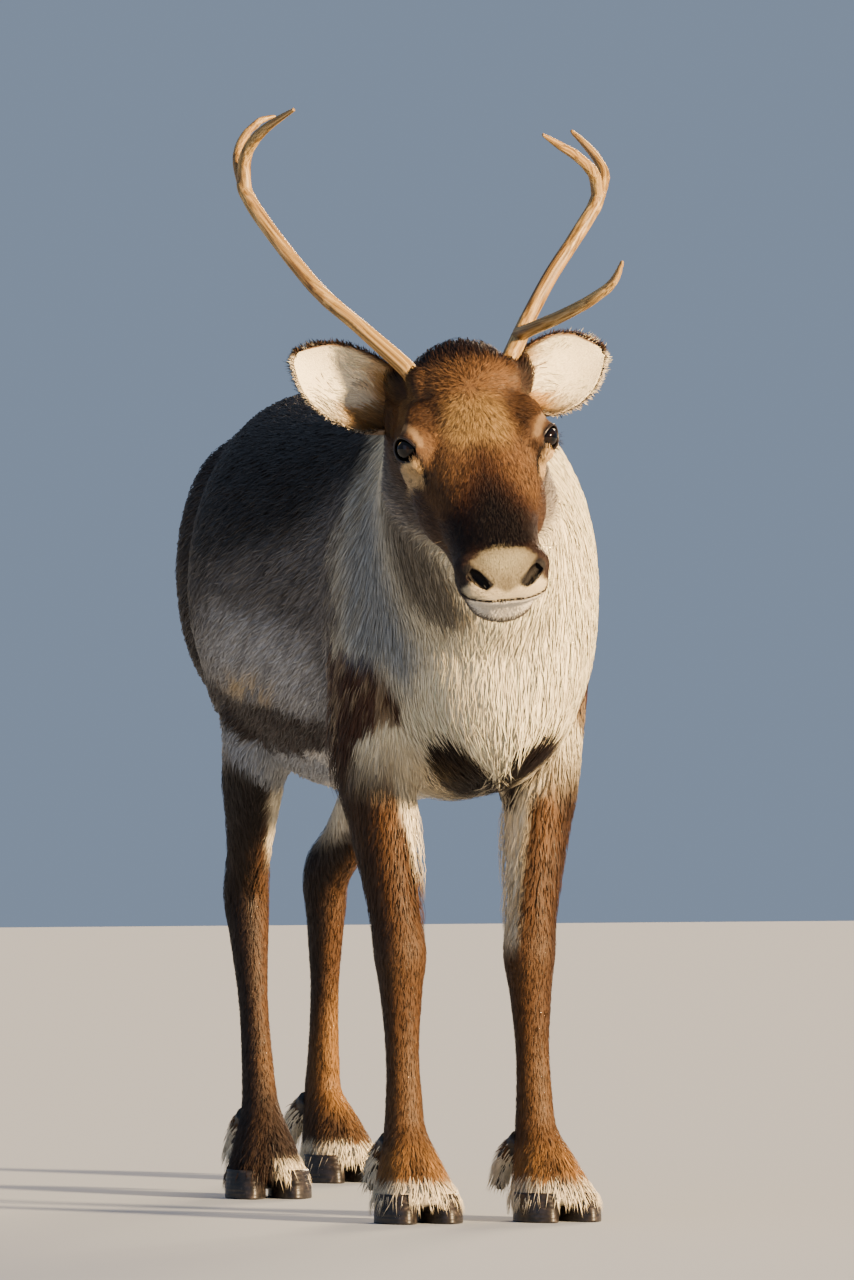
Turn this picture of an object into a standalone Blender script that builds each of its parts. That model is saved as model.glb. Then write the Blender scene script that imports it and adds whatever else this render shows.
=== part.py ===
"""A young reindeer in its winter coat, standing square to the front with one hind leg forward.

The animal faces -Y, its left side is +X and the floor is z = 0. Lengths are metres.
The flesh is lofted through a few stations for each part, blended into one body, dressed with the
long locks of throat, elbows and feet, and then parted with thin cuts.
"""
import math
import random

import bmesh
import bpy
from mathutils import Matrix, Vector
from mathutils.bvhtree import BVHTree

# Driving sizes
WITHERS = 0.866
BACK_DIP = 0.018
BELLY = 0.418
CHEST_HALF = 0.138
BELLY_HALF = 0.186
HIP_HALF = 0.160
HEAD_LENGTH = 0.292
HEAD_POLL = Vector((-0.0760, -0.548, 0.885))
HEAD_PITCH = math.radians(48.0)
HEAD_ROLL = math.radians(-5.0)
HEAD_YAW = math.radians(-5.6)
EYE_RADIUS = 0.0145
EYE_PLACE = Vector((0.0670, -0.101, -0.0235))
ANTLER_RADIUS = 0.0081
HOOF_HEIGHT = 0.030
HOOF_LENGTH = 0.076
HOOF_WIDTH = 0.043
GAP = 0.0003
FINE = 0.0042
LOCK_SINK = 0.010
MANE_ROWS = 5
MANE_DEPTH = 0.020


def head_frame():
    """Head space: nose along -y, forehead up along z, the animal's left along x, poll at the origin."""
    turn = Matrix.Rotation(HEAD_YAW, 4, "Z") @ Matrix.Rotation(HEAD_ROLL, 4, "Y")
    return Matrix.Translation(HEAD_POLL) @ turn @ Matrix.Rotation(HEAD_PITCH, 4, "X")


HEAD = head_frame()


def material(name, colour, roughness):
    made = bpy.data.materials.new(name)
    made.use_nodes = True
    shader = made.node_tree.nodes["Principled BSDF"]
    shader.inputs["Base Color"].default_value = (*colour, 1.0)
    shader.inputs["Roughness"].default_value = roughness
    return made


def finishes():
    """Colours read from the coat, antlers and hooves, as linear values."""
    return {
        "back_coat": material("back_coat", (0.060, 0.042, 0.032), 0.85),
        "pale_coat": material("pale_coat", (0.560, 0.500, 0.420), 0.85),
        "leg_coat": material("leg_coat", (0.190, 0.105, 0.052), 0.80),
        "face_coat": material("face_coat", (0.170, 0.092, 0.048), 0.80),
        "antler": material("antler", (0.420, 0.270, 0.140), 0.45),
        "hoof": material("hoof", (0.016, 0.014, 0.013), 0.45),
        "eye": material("eye", (0.010, 0.007, 0.005), 0.06),
    }


def mesh_object(name, mesh, shown=False):
    """A new object. Pieces that are only worked on stay out of the render."""
    made = bpy.data.objects.new(name, mesh)
    bpy.context.scene.collection.objects.link(made)
    made.hide_render = not shown
    return made


def drop(*objects):
    for each in objects:
        mesh = each.data
        bpy.data.objects.remove(each)
        bpy.data.meshes.remove(mesh)


def baked(target, name):
    """The object as its modifiers leave it, as a new plain object. The old one goes."""
    bpy.context.view_layer.update()
    graph = bpy.context.evaluated_depsgraph_get()
    mesh = bpy.data.meshes.new_from_object(target.evaluated_get(graph))
    drop(target)
    mesh.name = name
    return mesh_object(name, mesh)


def spline(points, t):
    """A smooth curve through rows of numbers, read at t from 0 to 1."""
    last = len(points) - 1
    place = min(max(t, 0.0), 1.0) * last
    i = min(int(place), last - 1)
    f = place - i
    a, b, c, d = (points[min(max(k, 0), last)] for k in (i - 1, i, i + 1, i + 2))
    row = []
    for p, q, r, s in zip(a, b, c, d):
        slope_in, slope_out = (r - p) / 2, (s - q) / 2
        h = f * f * (3 - 2 * f)
        row.append(q + (r - q) * h + slope_in * f * (1 - f) ** 2 - slope_out * f * f * (1 - f))
    return row


def superellipse(angle, square):
    """A unit ring that runs from an ellipse at square 0 towards a rounded box at 1."""
    power = 1.0 - 0.5 * square
    c, s = math.cos(angle), math.sin(angle)
    return math.copysign(abs(c) ** power, c), math.copysign(abs(s) ** power, s)


def loft(name, stations, side=Vector((1, 0, 0)), around=24, along=30):
    """A closed body through stations (x, y, z, half width, rise, drop, square).

    Each ring stands across the path. The half width runs along side, rise and drop run to either
    side of the path in the ring's own plane."""
    rows = [spline(stations, i / along) for i in range(along + 1)]
    centres = [Vector(row[:3]) for row in rows]
    bm = bmesh.new()
    rings = []
    for i, row in enumerate(rows):
        ahead = (centres[min(i + 1, along)] - centres[max(i - 1, 0)]).normalized()
        across = (side - ahead * side.dot(ahead)).normalized()
        upward = across.cross(ahead)
        ring = []
        for k in range(around):
            c, s = superellipse(math.tau * k / around, row[6])
            height = row[4] if s > 0 else row[5]
            ring.append(bm.verts.new(centres[i] + across * c * row[3] + upward * s * height))
        rings.append(ring)
    for low, high in zip(rings, rings[1:]):
        for k in range(around):
            n = (k + 1) % around
            bm.faces.new((low[k], low[n], high[n], high[k]))
    for ring, centre in ((rings[0], centres[0]), (rings[-1], centres[-1])):
        pole = bm.verts.new(centre)
        for k in range(around):
            bm.faces.new((ring[k], ring[(k + 1) % around], pole))
    return closed_object(name, bm)


def closed_object(name, bm):
    bmesh.ops.recalc_face_normals(bm, faces=bm.faces)
    mesh = bpy.data.meshes.new(name)
    bm.to_mesh(mesh)
    bm.free()
    return mesh_object(name, mesh)


def ball(name, centre, radii, frame=Matrix.Identity(4), turn=Matrix.Identity(4)):
    bm = bmesh.new()
    bmesh.ops.create_uvsphere(bm, u_segments=16, v_segments=9, radius=1.0)
    size = Matrix.Diagonal((*radii, 1.0))
    bm.transform(frame @ Matrix.Translation(Vector(centre)) @ turn @ size)
    return closed_object(name, bm)


def boolean(target, others, operation, name, solver="EXACT"):
    """target with one object, or a list of them, joined or cut by one modifier. The others go."""
    cutter = target.modifiers.new("Join", "BOOLEAN")
    cutter.operation = operation
    cutter.solver = solver
    others = others if isinstance(others, list) else [others]
    group = bpy.data.collections.new("Tools")
    bpy.context.scene.collection.children.link(group)
    for other in others:
        group.objects.link(other)
    cutter.operand_type = "COLLECTION"
    cutter.collection = group
    made = baked(target, name)
    drop(*others)
    bpy.data.collections.remove(group)
    return made


def copy_of(source, name):
    return mesh_object(name, source.data.copy())


def trimmed(target, point, facing):
    """Cuts away what lies on the side that facing points to, and closes the cut with a flat face."""
    bm = bmesh.new()
    bm.from_mesh(target.data)
    everything = bm.verts[:] + bm.edges[:] + bm.faces[:]
    bmesh.ops.bisect_plane(
        bm, geom=everything, plane_co=point, plane_no=facing, clear_outer=True, dist=1e-6
    )
    rim = [e for e in bm.edges if e.is_boundary]
    bmesh.ops.holes_fill(bm, edges=rim)
    bmesh.ops.triangulate(bm, faces=[f for f in bm.faces if len(f.verts) > 4])
    bm.to_mesh(target.data)
    bm.free()
    return target


def largest(target):
    """Keeps only the biggest closed surface of a piece."""
    bm = bmesh.new()
    bm.from_mesh(target.data)
    bm.faces.ensure_lookup_table()
    left = set(bm.faces)
    best, best_volume = [], -1.0
    while left:
        stack = [left.pop()]
        shell = []
        while stack:
            face = stack.pop()
            shell.append(face)
            for edge in face.edges:
                for other in edge.link_faces:
                    if other in left:
                        left.remove(other)
                        stack.append(other)
        volume = sum(f.calc_area() * f.normal.dot(f.calc_center_median()) for f in shell)
        if abs(volume) > best_volume:
            best, best_volume = shell, abs(volume)
    kept = set(best)
    bmesh.ops.delete(bm, geom=[f for f in bm.faces if f not in kept], context="FACES")
    bm.to_mesh(target.data)
    bm.free()
    return target


def blended(name, pieces, voxel, rounds):
    """Pieces melted into one closed skin and smoothed."""
    bm = bmesh.new()
    for piece in pieces:
        bm.from_mesh(piece.data)
    mesh = bpy.data.meshes.new(name)
    bm.to_mesh(mesh)
    bm.free()
    made = mesh_object(name, mesh)
    remesh = made.modifiers.new("Melt", "REMESH")
    remesh.mode = "VOXEL"
    remesh.voxel_size = voxel
    smooth = made.modifiers.new("Soften", "SMOOTH")
    smooth.factor = 0.5
    smooth.iterations = rounds
    return largest(baked(made, name))



def torso_stations():
    """From the breast to the buttocks. The rise and drop are measured from the middle of the barrel."""
    mid = 0.64
    back = WITHERS - mid
    low = mid - BELLY
    rows = (
        (-0.455, 0.045, back - 0.150, low - 0.090),
        (-0.425, 0.092, back - 0.090, low - 0.046),
        (-0.350, 0.122, back - 0.034, low - 0.022),
        (-0.255, CHEST_HALF, back, low - 0.014),
        (-0.140, 0.150, back - 0.010, low - 0.008),
        (-0.010, 0.174, back - BACK_DIP, low),
        (0.110, BELLY_HALF, back - 0.020, low - 0.004),
        (0.220, 0.182, back - 0.014, low - 0.026),
        (0.320, HIP_HALF, back - 0.010, low - 0.066),
        (0.410, 0.134, back - 0.026, low - 0.110),
        (0.475, 0.100, back - 0.062, low - 0.150),
        (0.515, 0.048, back - 0.115, low - 0.185),
    )
    return [(0.0, y, mid, half, rise, drop, 0.12) for y, half, rise, drop in rows]


def neck_stations():
    """From inside the shoulders up to the back of the skull, leaning to the animal's right."""
    return [
        (0.000, -0.190, 0.640, 0.128, 0.190, 0.150, 0.10),
        (-0.006, -0.290, 0.655, 0.126, 0.172, 0.170, 0.10),
        (-0.022, -0.375, 0.690, 0.114 - MANE_DEPTH / 2, 0.142, 0.172 - MANE_DEPTH, 0.10),
        (-0.044, -0.445, 0.736, 0.100 - MANE_DEPTH / 2, 0.112, 0.164 - MANE_DEPTH, 0.05),
        (-0.064, -0.500, 0.782, 0.088 - MANE_DEPTH / 2, 0.090, 0.132 - MANE_DEPTH, 0.00),
        (-0.078, -0.540, 0.818, 0.076, 0.066, 0.098, 0.00),
    ]


# Joints of each leg, from the top bone down to the toe
FORE_JOINTS = {
    "right": ((-0.088, -0.235, 0.665), (-0.098, -0.270, 0.480), (-0.081, -0.312, 0.272),
              (-0.077, -0.318, 0.090), (-0.073, -0.352, 0.000)),
    "left": ((0.084, -0.235, 0.665), (0.080, -0.270, 0.480), (0.055, -0.312, 0.272),
             (0.061, -0.318, 0.090), (0.073, -0.352, 0.000)),
}
HIND_JOINTS = {
    "right": ((-0.084, 0.345, 0.690), (-0.112, 0.182, 0.528), (-0.096, 0.300, 0.318),
              (-0.097, 0.232, 0.092), (-0.101, 0.186, 0.000)),
    "left": ((0.084, 0.365, 0.690), (0.092, 0.290, 0.512), (0.040, 0.500, 0.330),
             (0.048, 0.548, 0.094), (0.060, 0.506, 0.000)),
}
# Each row: bone, place along it, half width, front, back, square
FORE_PROFILE = (
    (0, 0.00, 0.050, 0.110, 0.100, 0.1),
    (0, 0.55, 0.052, 0.098, 0.090, 0.1),
    (1, 0.00, 0.045, 0.066, 0.070, 0.1),
    (1, 0.38, 0.036, 0.042, 0.046, 0.0),
    (1, 0.78, 0.0285, 0.031, 0.034, 0.0),
    (2, 0.00, 0.0295, 0.034, 0.031, 0.2),
    (2, 0.18, 0.0250, 0.027, 0.027, 0.1),
    (2, 0.52, 0.0200, 0.019, 0.024, 0.1),
    (2, 0.82, 0.0215, 0.021, 0.027, 0.0),
    (3, 0.00, 0.0245, 0.025, 0.033, 0.0),
    (3, 0.34, 0.0335, 0.033, 0.034, 0.1),
    (3, 0.66, 0.0430, 0.042, 0.036, 0.2),
    (3, 0.95, 0.0480, 0.047, 0.036, 0.2),
)
HIND_PROFILE = (
    (0, 0.00, 0.062, 0.120, 0.118, 0.1),
    (0, 0.55, 0.060, 0.112, 0.116, 0.1),
    (1, 0.00, 0.048, 0.080, 0.086, 0.1),
    (1, 0.42, 0.034, 0.050, 0.058, 0.0),
    (1, 0.80, 0.0245, 0.034, 0.036, 0.0),
    (2, 0.00, 0.0255, 0.032, 0.038, 0.2),
    (2, 0.18, 0.0235, 0.027, 0.031, 0.1),
    (2, 0.52, 0.0180, 0.020, 0.024, 0.1),
    (2, 0.84, 0.0200, 0.022, 0.027, 0.0),
    (3, 0.00, 0.0230, 0.026, 0.032, 0.0),
    (3, 0.34, 0.0320, 0.033, 0.034, 0.1),
    (3, 0.66, 0.0410, 0.042, 0.036, 0.2),
    (3, 0.95, 0.0455, 0.047, 0.036, 0.2),
)


def leg_stations(joints, profile):
    rows = []
    for bone, place, half, front, back, square in profile:
        at = Vector(joints[bone]).lerp(Vector(joints[bone + 1]), place)
        rows.append((*at, half, back, front, square))
    return rows


def head_masses():
    """Face, jaw and the masses that round them, in head space."""
    face = (
        (-0.040, -0.030, -0.100, 0.044, 0.0),
        (0.000, -0.008, -0.116, 0.063, 0.0),
        (0.035, -0.002, -0.120, 0.073, 0.1),
        (0.070, 0.001, -0.116, 0.077, 0.2),
        (0.108, -0.002, -0.108, 0.073, 0.2),
        (0.142, -0.008, -0.098, 0.062, 0.2),
        (0.180, -0.013, -0.090, 0.052, 0.2),
        (0.217, -0.015, -0.084, 0.0460, 0.3),
        (0.246, -0.016, -0.080, 0.0465, 0.4),
        (0.268, -0.020, -0.072, 0.0460, 0.5),
        (0.283, -0.027, -0.063, 0.0400, 0.5),
        (HEAD_LENGTH, -0.036, -0.052, 0.0220, 0.3),
    )
    jaw = (
        (0.010, -0.050, -0.130, 0.050, 0.0),
        (0.045, -0.045, -0.150, 0.065, 0.0),
        (0.090, -0.045, -0.150, 0.066, 0.0),
        (0.140, -0.050, -0.136, 0.055, 0.1),
        (0.186, -0.058, -0.116, 0.043, 0.1),
        (0.230, -0.052, -0.106, 0.038, 0.2),
        (0.256, -0.050, -0.101, 0.036, 0.3),
        (0.276, -0.052, -0.096, 0.029, 0.3),
        (0.286, -0.058, -0.090, 0.015, 0.2),
    )
    made = []
    for name, rows in (("face", face), ("jaw", jaw)):
        stations = []
        for s, top, bottom, half, square in rows:
            middle = (top + bottom) / 2
            reach = (top - bottom) / 2
            stations.append((0.0, -s, middle, half, reach, reach, square))
        made.append(loft(name, stations, around=32, along=44))
    for side in (-1, 1):
        made.append(ball("brow", (0.054 * side, -0.080, -0.012), (0.020, 0.034, 0.011)))
        made.append(ball("cheek", (0.042 * side, -0.130, -0.070), (0.026, 0.062, 0.034)))
        made.append(ball("orbit", (0.063 * side, -0.101, -0.028), (0.0170, 0.030, 0.021)))
        made.append(ball("nostril_wing", (0.029 * side, -0.256, -0.036), (0.0165, 0.022, 0.0155)))
        made.append(ball("upper_lip", (0.024 * side, -0.268, -0.048), (0.018, 0.018, 0.010)))
        made.append(ball("pedicle", (0.047 * side, -0.022, -0.014), (0.014, 0.020, 0.017)))
        made.append(ball("ear_root", (0.060 * side, 0.000, -0.044), (0.017, 0.026, 0.026)))
    made.append(ball("crown", (0.0, -0.024, -0.012), (0.050, 0.048, 0.020)))
    for piece in made:
        piece.data.transform(HEAD)
    return made


def flesh():
    """The whole animal without ears, antlers, hooves and locks, as one fine skin."""
    pieces = [
        loft("barrel", torso_stations(), around=36, along=44),
        loft("neck_core", neck_stations(), around=32, along=24),
        ball("breast", (-0.004, -0.392, 0.565),
             (0.095 - MANE_DEPTH, 0.072 - MANE_DEPTH, 0.118 - MANE_DEPTH)),
    ]
    for side in (-1, 1):
        pieces.append(ball("shoulder", (0.088 * side, -0.235, 0.640), (0.060, 0.098, 0.150)))
        pieces.append(ball("haunch", (0.084 * side, 0.378, 0.655), (0.072, 0.118, 0.150)))
    for side in ("right", "left"):
        pieces.append(loft("fore", leg_stations(FORE_JOINTS[side], FORE_PROFILE), along=60))
        pieces.append(loft("hind", leg_stations(HIND_JOINTS[side], HIND_PROFILE), along=60))
    pieces += head_masses()
    made = blended("flesh", pieces, FINE, 8)
    drop(*pieces)
    return made


# Where the body is parted. Each plane is a point and the way it faces out of the part that it bounds

HEAD_PLANES = [
    (HEAD @ Vector((0, 0.012, -0.075)), (HEAD.to_3x3() @ Vector((0, 0.93, -0.36))).normalized()),
    (Vector((0, -0.470, 0.722)), Vector((0, 0.49, -0.87)).normalized()),
]
NECK_TORSO = (Vector((0.0, -0.335, 0.640)), Vector((0.0, 0.93, 0.30)).normalized())


def fore_planes(side):
    return [
        (Vector((side * 0.05, 0, 0.415)), Vector((-side * 1.36, 0, 1)).normalized()),
        (Vector((0, -0.372, 0.45)), Vector((0, -1, 0.15)).normalized()),
        (Vector((0, -0.180, 0.45)), Vector((0, 1, 0.10)).normalized()),
        (Vector((side * 0.002, 0, 0)), Vector((-side, 0, 0))),
    ]


def hind_planes(side):
    return [
        (Vector((side * 0.03, 0, 0.495)), Vector((-side * 1.50, 0, 1)).normalized()),
        (Vector((0, 0.105, 0.45)), Vector((0, -1, 0.40)).normalized()),
        (Vector((side * 0.002, 0, 0)), Vector((-side, 0, 0))),
    ]


def turned(plane):
    return plane[0], -plane[1]


def cut_by(target, planes, gap=GAP / 2):
    for point, facing in planes:
        trimmed(target, point - facing * gap, facing)
    return target


def portion(whole, planes, share, name):
    """The part of the whole inside the planes, thinned before its faces are cut flat."""
    rough = cut_by(copy_of(whole, name), planes, -0.010)
    thin = rough.modifiers.new("Thin", "DECIMATE")
    thin.ratio = share
    return largest(cut_by(baked(rough, name), planes))


def block(planes, gap):
    """A convex cutter that fills the space inside the planes."""
    bm = bmesh.new()
    bmesh.ops.create_cube(bm, size=3.0)
    made = closed_object("block", bm)
    return cut_by(made, planes, -gap)


def cleared(piece, neighbour):
    """The piece with all that comes closer to its neighbour than the gap cut away."""
    swollen = copy_of(neighbour, "swollen")
    swell = swollen.modifiers.new("Swell", "DISPLACE")
    swell.strength = GAP * 1.5
    swell.mid_level = 0.0
    return boolean(piece, [baked(swollen, "swollen")], "DIFFERENCE", piece.name, "MANIFOLD")


def split_stem(parent, stem, point, facing, name, beside=()):
    """Parts a stem by a plane: the root joins the parent and the rest is a piece of its own."""
    root = trimmed(copy_of(stem, "root"), point - facing * GAP / 2, facing)
    outer = trimmed(stem, point + facing * GAP / 2, -facing)
    outer.name = name
    for neighbour in (parent, *beside):
        outer = cleared(outer, neighbour)
    parent_name = parent.name
    joined = boolean(parent, [root], "UNION", parent_name)
    return largest(joined), largest(outer)


def lock(root, out, lie, length, width, stand, draw):
    """One flat tapered lock. It leaves the skin at a slant, bends over and runs along its lie."""
    lie = (lie - out * lie.dot(out) * 0.85).normalized()
    across = lie.cross(out).normalized()
    drift = across * length * draw.uniform(-0.12, 0.12)
    height = out * length * stand * draw.uniform(0.80, 1.20)
    path = (root - out * LOCK_SINK, root + height * 0.85 + lie * length * 0.38,
            root + height * 0.95 + lie * length * 0.75 + drift * 0.7)
    tip = root + height * 0.65 + lie * length + drift
    bm = bmesh.new()
    rings = []
    for i, (wide, deep) in enumerate(((0.85, 1.0), (1.0, 1.0), (0.65, 0.65))):
        ahead = (path[min(i + 1, 2)] - path[max(i - 1, 0)]).normalized()
        face = across.cross(ahead).normalized()
        side = across * width / 2 * wide
        thick = face * width * 0.15 * deep
        rings.append([bm.verts.new(path[i] + offset) for offset in (side, thick, -side, -thick)])
    for low, high in zip(rings, rings[1:]):
        for k in range(4):
            n = (k + 1) % 4
            bm.faces.new((low[k], low[n], high[n]))
            bm.faces.new((low[k], high[n], high[k]))
    end = bm.verts.new(tip)
    for k in range(4):
        bm.faces.new((rings[2][k], rings[2][(k + 1) % 4], end))
    bm.faces.new(rings[0])
    return closed_object("lock", bm)


def fringe(surface, rows, draw):
    """Locks on a surface, in rows of (centre, first angle, last angle, count, length, width, stand, lie).

    A row is where rays from its centre meet the surface. Angle 0 looks ahead and 90 to the left."""
    tree = BVHTree.FromObject(surface, bpy.context.evaluated_depsgraph_get())
    made = []
    for centre, first, last, count, length, width, stand, lie in rows:
        for k in range(count):
            angle = math.radians(first + (last - first) * (k + draw.uniform(0.25, 0.75)) / count)
            aim = Vector((math.sin(angle), -math.cos(angle), 0.0))
            start = Vector(centre) + Vector((0, 0, draw.uniform(-0.10, 0.10) * length))
            place, facing, *_ = tree.ray_cast(start, aim)
            if place is not None and facing.dot(aim) > 0.1:
                size = length * draw.uniform(0.85, 1.15)
                made.append(lock(place, facing, Vector(lie) + aim * 0.10, size, width, stand, draw))
    return made


def with_locks(node, rows, seed, beside):
    """The node with its locks fused in, cut clear of its neighbours."""
    bpy.context.view_layer.update()
    name = node.name
    node = boolean(node, fringe(node, rows, random.Random(seed)), "UNION", name, "MANIFOLD")
    for neighbour in beside:
        node = cleared(node, neighbour)
    return largest(node)


def mane_rows():
    """Throat and breast, from the jaw down to the point between the forelegs."""
    rows = []
    for i in range(MANE_ROWS):
        t = i / (MANE_ROWS - 1)
        centre = (-0.062 + 0.062 * t, -0.500 + 0.165 * t ** 0.8, 0.775 - 0.275 * t)
        spread = 95 - 18 * t
        length = 0.092 + 0.030 * math.sin(t * math.pi)
        rows.append((centre, -spread, spread, 6, length, 0.048, 0.18, (0.02, 0.10, -1.0)))
    return rows


def fore_rows(side):
    """Long hair behind the elbow, and down the inside of the forearm."""
    rows = []
    for i in range(2):
        centre = (0.090 * side, -0.262, 0.500 - 0.036 * i)
        rows.append((centre, 175 * side, 100 * side, 2, 0.072, 0.036, 0.24, (0.0, 0.25, -1.0)))
    for i in range(3):
        centre = (0.081 * side, -0.285, 0.430 - 0.038 * i)
        lie = (-0.10 * side, 0.0, -1.0)
        rows.append((centre, -65 * side, -140 * side, 2 - (i > 0), 0.062, 0.026, 0.20, lie))
    return rows


def foot_rows(toe):
    """Hair that falls over the top of the hooves."""
    return [((toe.x, toe.y + 0.004, 0.056), -160, 160, 7, 0.042, 0.034, 0.15, (0.0, 0.0, -1.0))]


def tail_rows():
    return [((0.0, 0.541, 0.735 - 0.034 * i), -180, 180, 3, 0.056, 0.042, 0.14, (0.0, 0.15, -1.0))
            for i in range(2)]


def tube(name, points, radii, around=8, along=20):
    """A round stem through its points, rounded at the tip."""
    rows = [(*p, r, r, r, 0.0) for p, r in zip(points, radii)]
    return loft(name, rows, side=Vector((0.3, -0.9, 0.3)).normalized(), around=around, along=along)


def ear(side, name):
    """A leaf-shaped cup. Its rim lies in one plane and its back bows away from the opening."""
    if side < 0:
        base, tip, top = Vector((-0.140, -0.535, 0.828)), Vector((-0.236, -0.500, 0.881)), Vector((0, 0.2, 1))
    else:
        base, tip, top = Vector((-0.004, -0.535, 0.850)), Vector((0.086, -0.490, 0.886)), Vector((0, 0.2, 1))
    axis = (tip - base).normalized()
    across = (top - axis * top.dot(axis)).normalized()
    front = axis.cross(across) * -side
    if front.y > 0:
        front = -front
    outline = ((0.0, 0.026, 1.9), (0.18, 0.038, 1.65), (0.38, 0.042, 1.35), (0.58, 0.040, 1.1),
               (0.76, 0.034, 0.95), (0.90, 0.021, 0.8), (1.0, 0.006, 0.6))
    rows, columns = 8, 6
    bm = bmesh.new()
    grid = []
    for i in range(rows + 1):
        t, width, wrap = spline(outline, i / rows)
        radius = width / math.sin(min(wrap, math.pi / 2))
        middle = base + (tip - base) * t - front * 0.006 * math.sin(t * math.pi)
        line = []
        for k in range(columns + 1):
            turn = wrap * (2 * k / columns - 1)
            depth = radius * (math.cos(turn) - math.cos(wrap))
            line.append(bm.verts.new(middle + across * radius * math.sin(turn) - front * depth))
        grid.append(line)
    for low, high in zip(grid, grid[1:]):
        for k in range(columns):
            bm.faces.new((low[k], low[k + 1], high[k + 1]))
            bm.faces.new((low[k], high[k + 1], high[k]))
    bmesh.ops.recalc_face_normals(bm, faces=bm.faces)
    mesh = bpy.data.meshes.new(name)
    bm.to_mesh(mesh)
    bm.free()
    made = mesh_object(name, mesh)
    wall = made.modifiers.new("Wall", "SOLIDIFY")
    wall.thickness = 0.0045
    wall.offset = 0.0
    return baked(made, name), base, axis


def eye_opening(side):
    """An almond prism along the eye's outward look."""
    bm = bmesh.new()
    look = Vector((side * 0.78, -0.48, 0.38)).normalized()
    along = Vector((0.0, -0.92, -0.36))
    along = (along - look * along.dot(look)).normalized()
    over = look.cross(along)
    centre = Vector((side * EYE_PLACE.x, EYE_PLACE.y, EYE_PLACE.z))
    near, far = [], []
    count = 16
    for k in range(count):
        a = math.tau * k / count
        height = math.copysign(abs(math.sin(a)) ** 0.85, math.sin(a))
        reach = along * 0.0135 * math.cos(a) + over * 0.0092 * height
        near.append(bm.verts.new(HEAD @ (centre + reach * 0.9 + look * 0.002)))
        far.append(bm.verts.new(HEAD @ (centre + reach * 1.35 + look * 0.034)))
    for k in range(count):
        n = (k + 1) % count
        bm.faces.new((near[k], near[n], far[n], far[k]))
    bm.faces.new(near)
    bm.faces.new(far)
    return closed_object("eye_opening", bm)


def nostril(surface, side):
    """A comma-shaped pit, wide near the midline and running up and out along the wing of the nose."""
    tree = BVHTree.FromObject(surface, bpy.context.evaluated_depsgraph_get())
    points, radii = [], []
    for x, z, radius in ((0.0120, -0.0325, 0.0026), (0.0175, -0.0300, 0.0052),
                         (0.0255, -0.0275, 0.0048), (0.0340, -0.0265, 0.0022)):
        inward = HEAD.to_3x3() @ Vector((0, 1, 0))
        hit = tree.ray_cast(HEAD @ Vector((side * x, -0.35, z)), inward)[0]
        points.append(hit + inward * 0.0012)
        radii.append(radius)
    return tube("nostril", points, radii, around=8, along=6)


def mouth_line(surface):
    """A thin ribbon that follows the lips and cuts a shallow line between them."""
    tree = BVHTree.FromObject(surface, bpy.context.evaluated_depsgraph_get())
    count = 24
    depth, half_height = 0.0045, 0.0009
    bm = bmesh.new()
    rings = []
    for k in range(count + 1):
        t = 2 * k / count - 1
        centre = Vector((0.0, -0.215, -0.0465 - 0.021 * abs(t) ** 2.2))
        aim = Vector((math.sin(t * 1.9), -math.cos(t * 1.9), 0.0))
        start = HEAD @ (centre + aim * 0.2)
        direction = (HEAD.to_3x3() @ -aim).normalized()
        hit = tree.ray_cast(start, direction)[0]
        inner = hit + direction * depth
        outer = hit - direction * 0.006
        up = (HEAD.to_3x3() @ Vector((0, 0, 1))).normalized()
        ring = [bm.verts.new(p + up * h) for p, h in ((inner, -half_height), (inner, half_height),
                                                       (outer, half_height * 2), (outer, -half_height * 2))]
        rings.append(ring)
    for low, high in zip(rings, rings[1:]):
        for k in range(4):
            n = (k + 1) % 4
            bm.faces.new((low[k], low[n], high[n], high[k]))
    bm.faces.new(rings[0])
    bm.faces.new(rings[-1])
    bmesh.ops.triangulate(bm, faces=bm.faces)
    return closed_object("mouth_line", bm)


def dressed_head(head):
    """Cuts the eyes, nostrils and mouth, and raises the lids."""
    lids = []
    sockets = []
    for side in (-1, 1):
        centre = HEAD @ Vector((side * EYE_PLACE.x, EYE_PLACE.y, EYE_PLACE.z))
        lids.append(ball("lid", centre, [EYE_RADIUS + 0.0032] * 3))
        sockets.append(eye_opening(side))
        sockets.append(ball("socket", centre, [EYE_RADIUS + GAP] * 3))
        sockets.append(nostril(head, side))
    head = boolean(head, lids, "UNION", "head")
    ribbon = mouth_line(head)
    head = boolean(head, sockets, "DIFFERENCE", "head")
    head = boolean(head, [ribbon], "DIFFERENCE", "head")
    return largest(head)


def hoof(centre, heading, outward, name):
    """One toe: flat sole, sloping front wall, straight inner side and curved outer side."""
    ahead = Vector((math.sin(heading), -math.cos(heading), 0.0))
    side = Vector((math.cos(heading), math.sin(heading), 0.0)) * outward
    levels = ((0.0, 1.0, 0.0), (0.012, 0.97, -0.001), (HOOF_HEIGHT - GAP, 0.78, -0.004))
    count = 14
    bm = bmesh.new()
    rings = []
    for z, share, shift in levels:
        ring = []
        for k in range(count):
            a = math.tau * k / count
            along = math.cos(a)
            across = math.sin(a)
            wide = (1.0 - 0.30 * max(along, 0.0) ** 2) * across
            reach = HOOF_LENGTH / 2 * along * share + shift
            sway = HOOF_WIDTH / 2 * (wide + 0.22 * (1 - along * along) - 0.22) * (0.5 + 0.5 * share)
            ring.append(bm.verts.new(centre + ahead * reach + side * sway + Vector((0, 0, z))))
        rings.append(ring)
    for low, high in zip(rings, rings[1:]):
        for k in range(count):
            n = (k + 1) % count
            bm.faces.new((low[k], low[n], high[n], high[k]))
    bm.faces.new(rings[0])
    bm.faces.new(rings[-1])
    return closed_object(name, bm)


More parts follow.
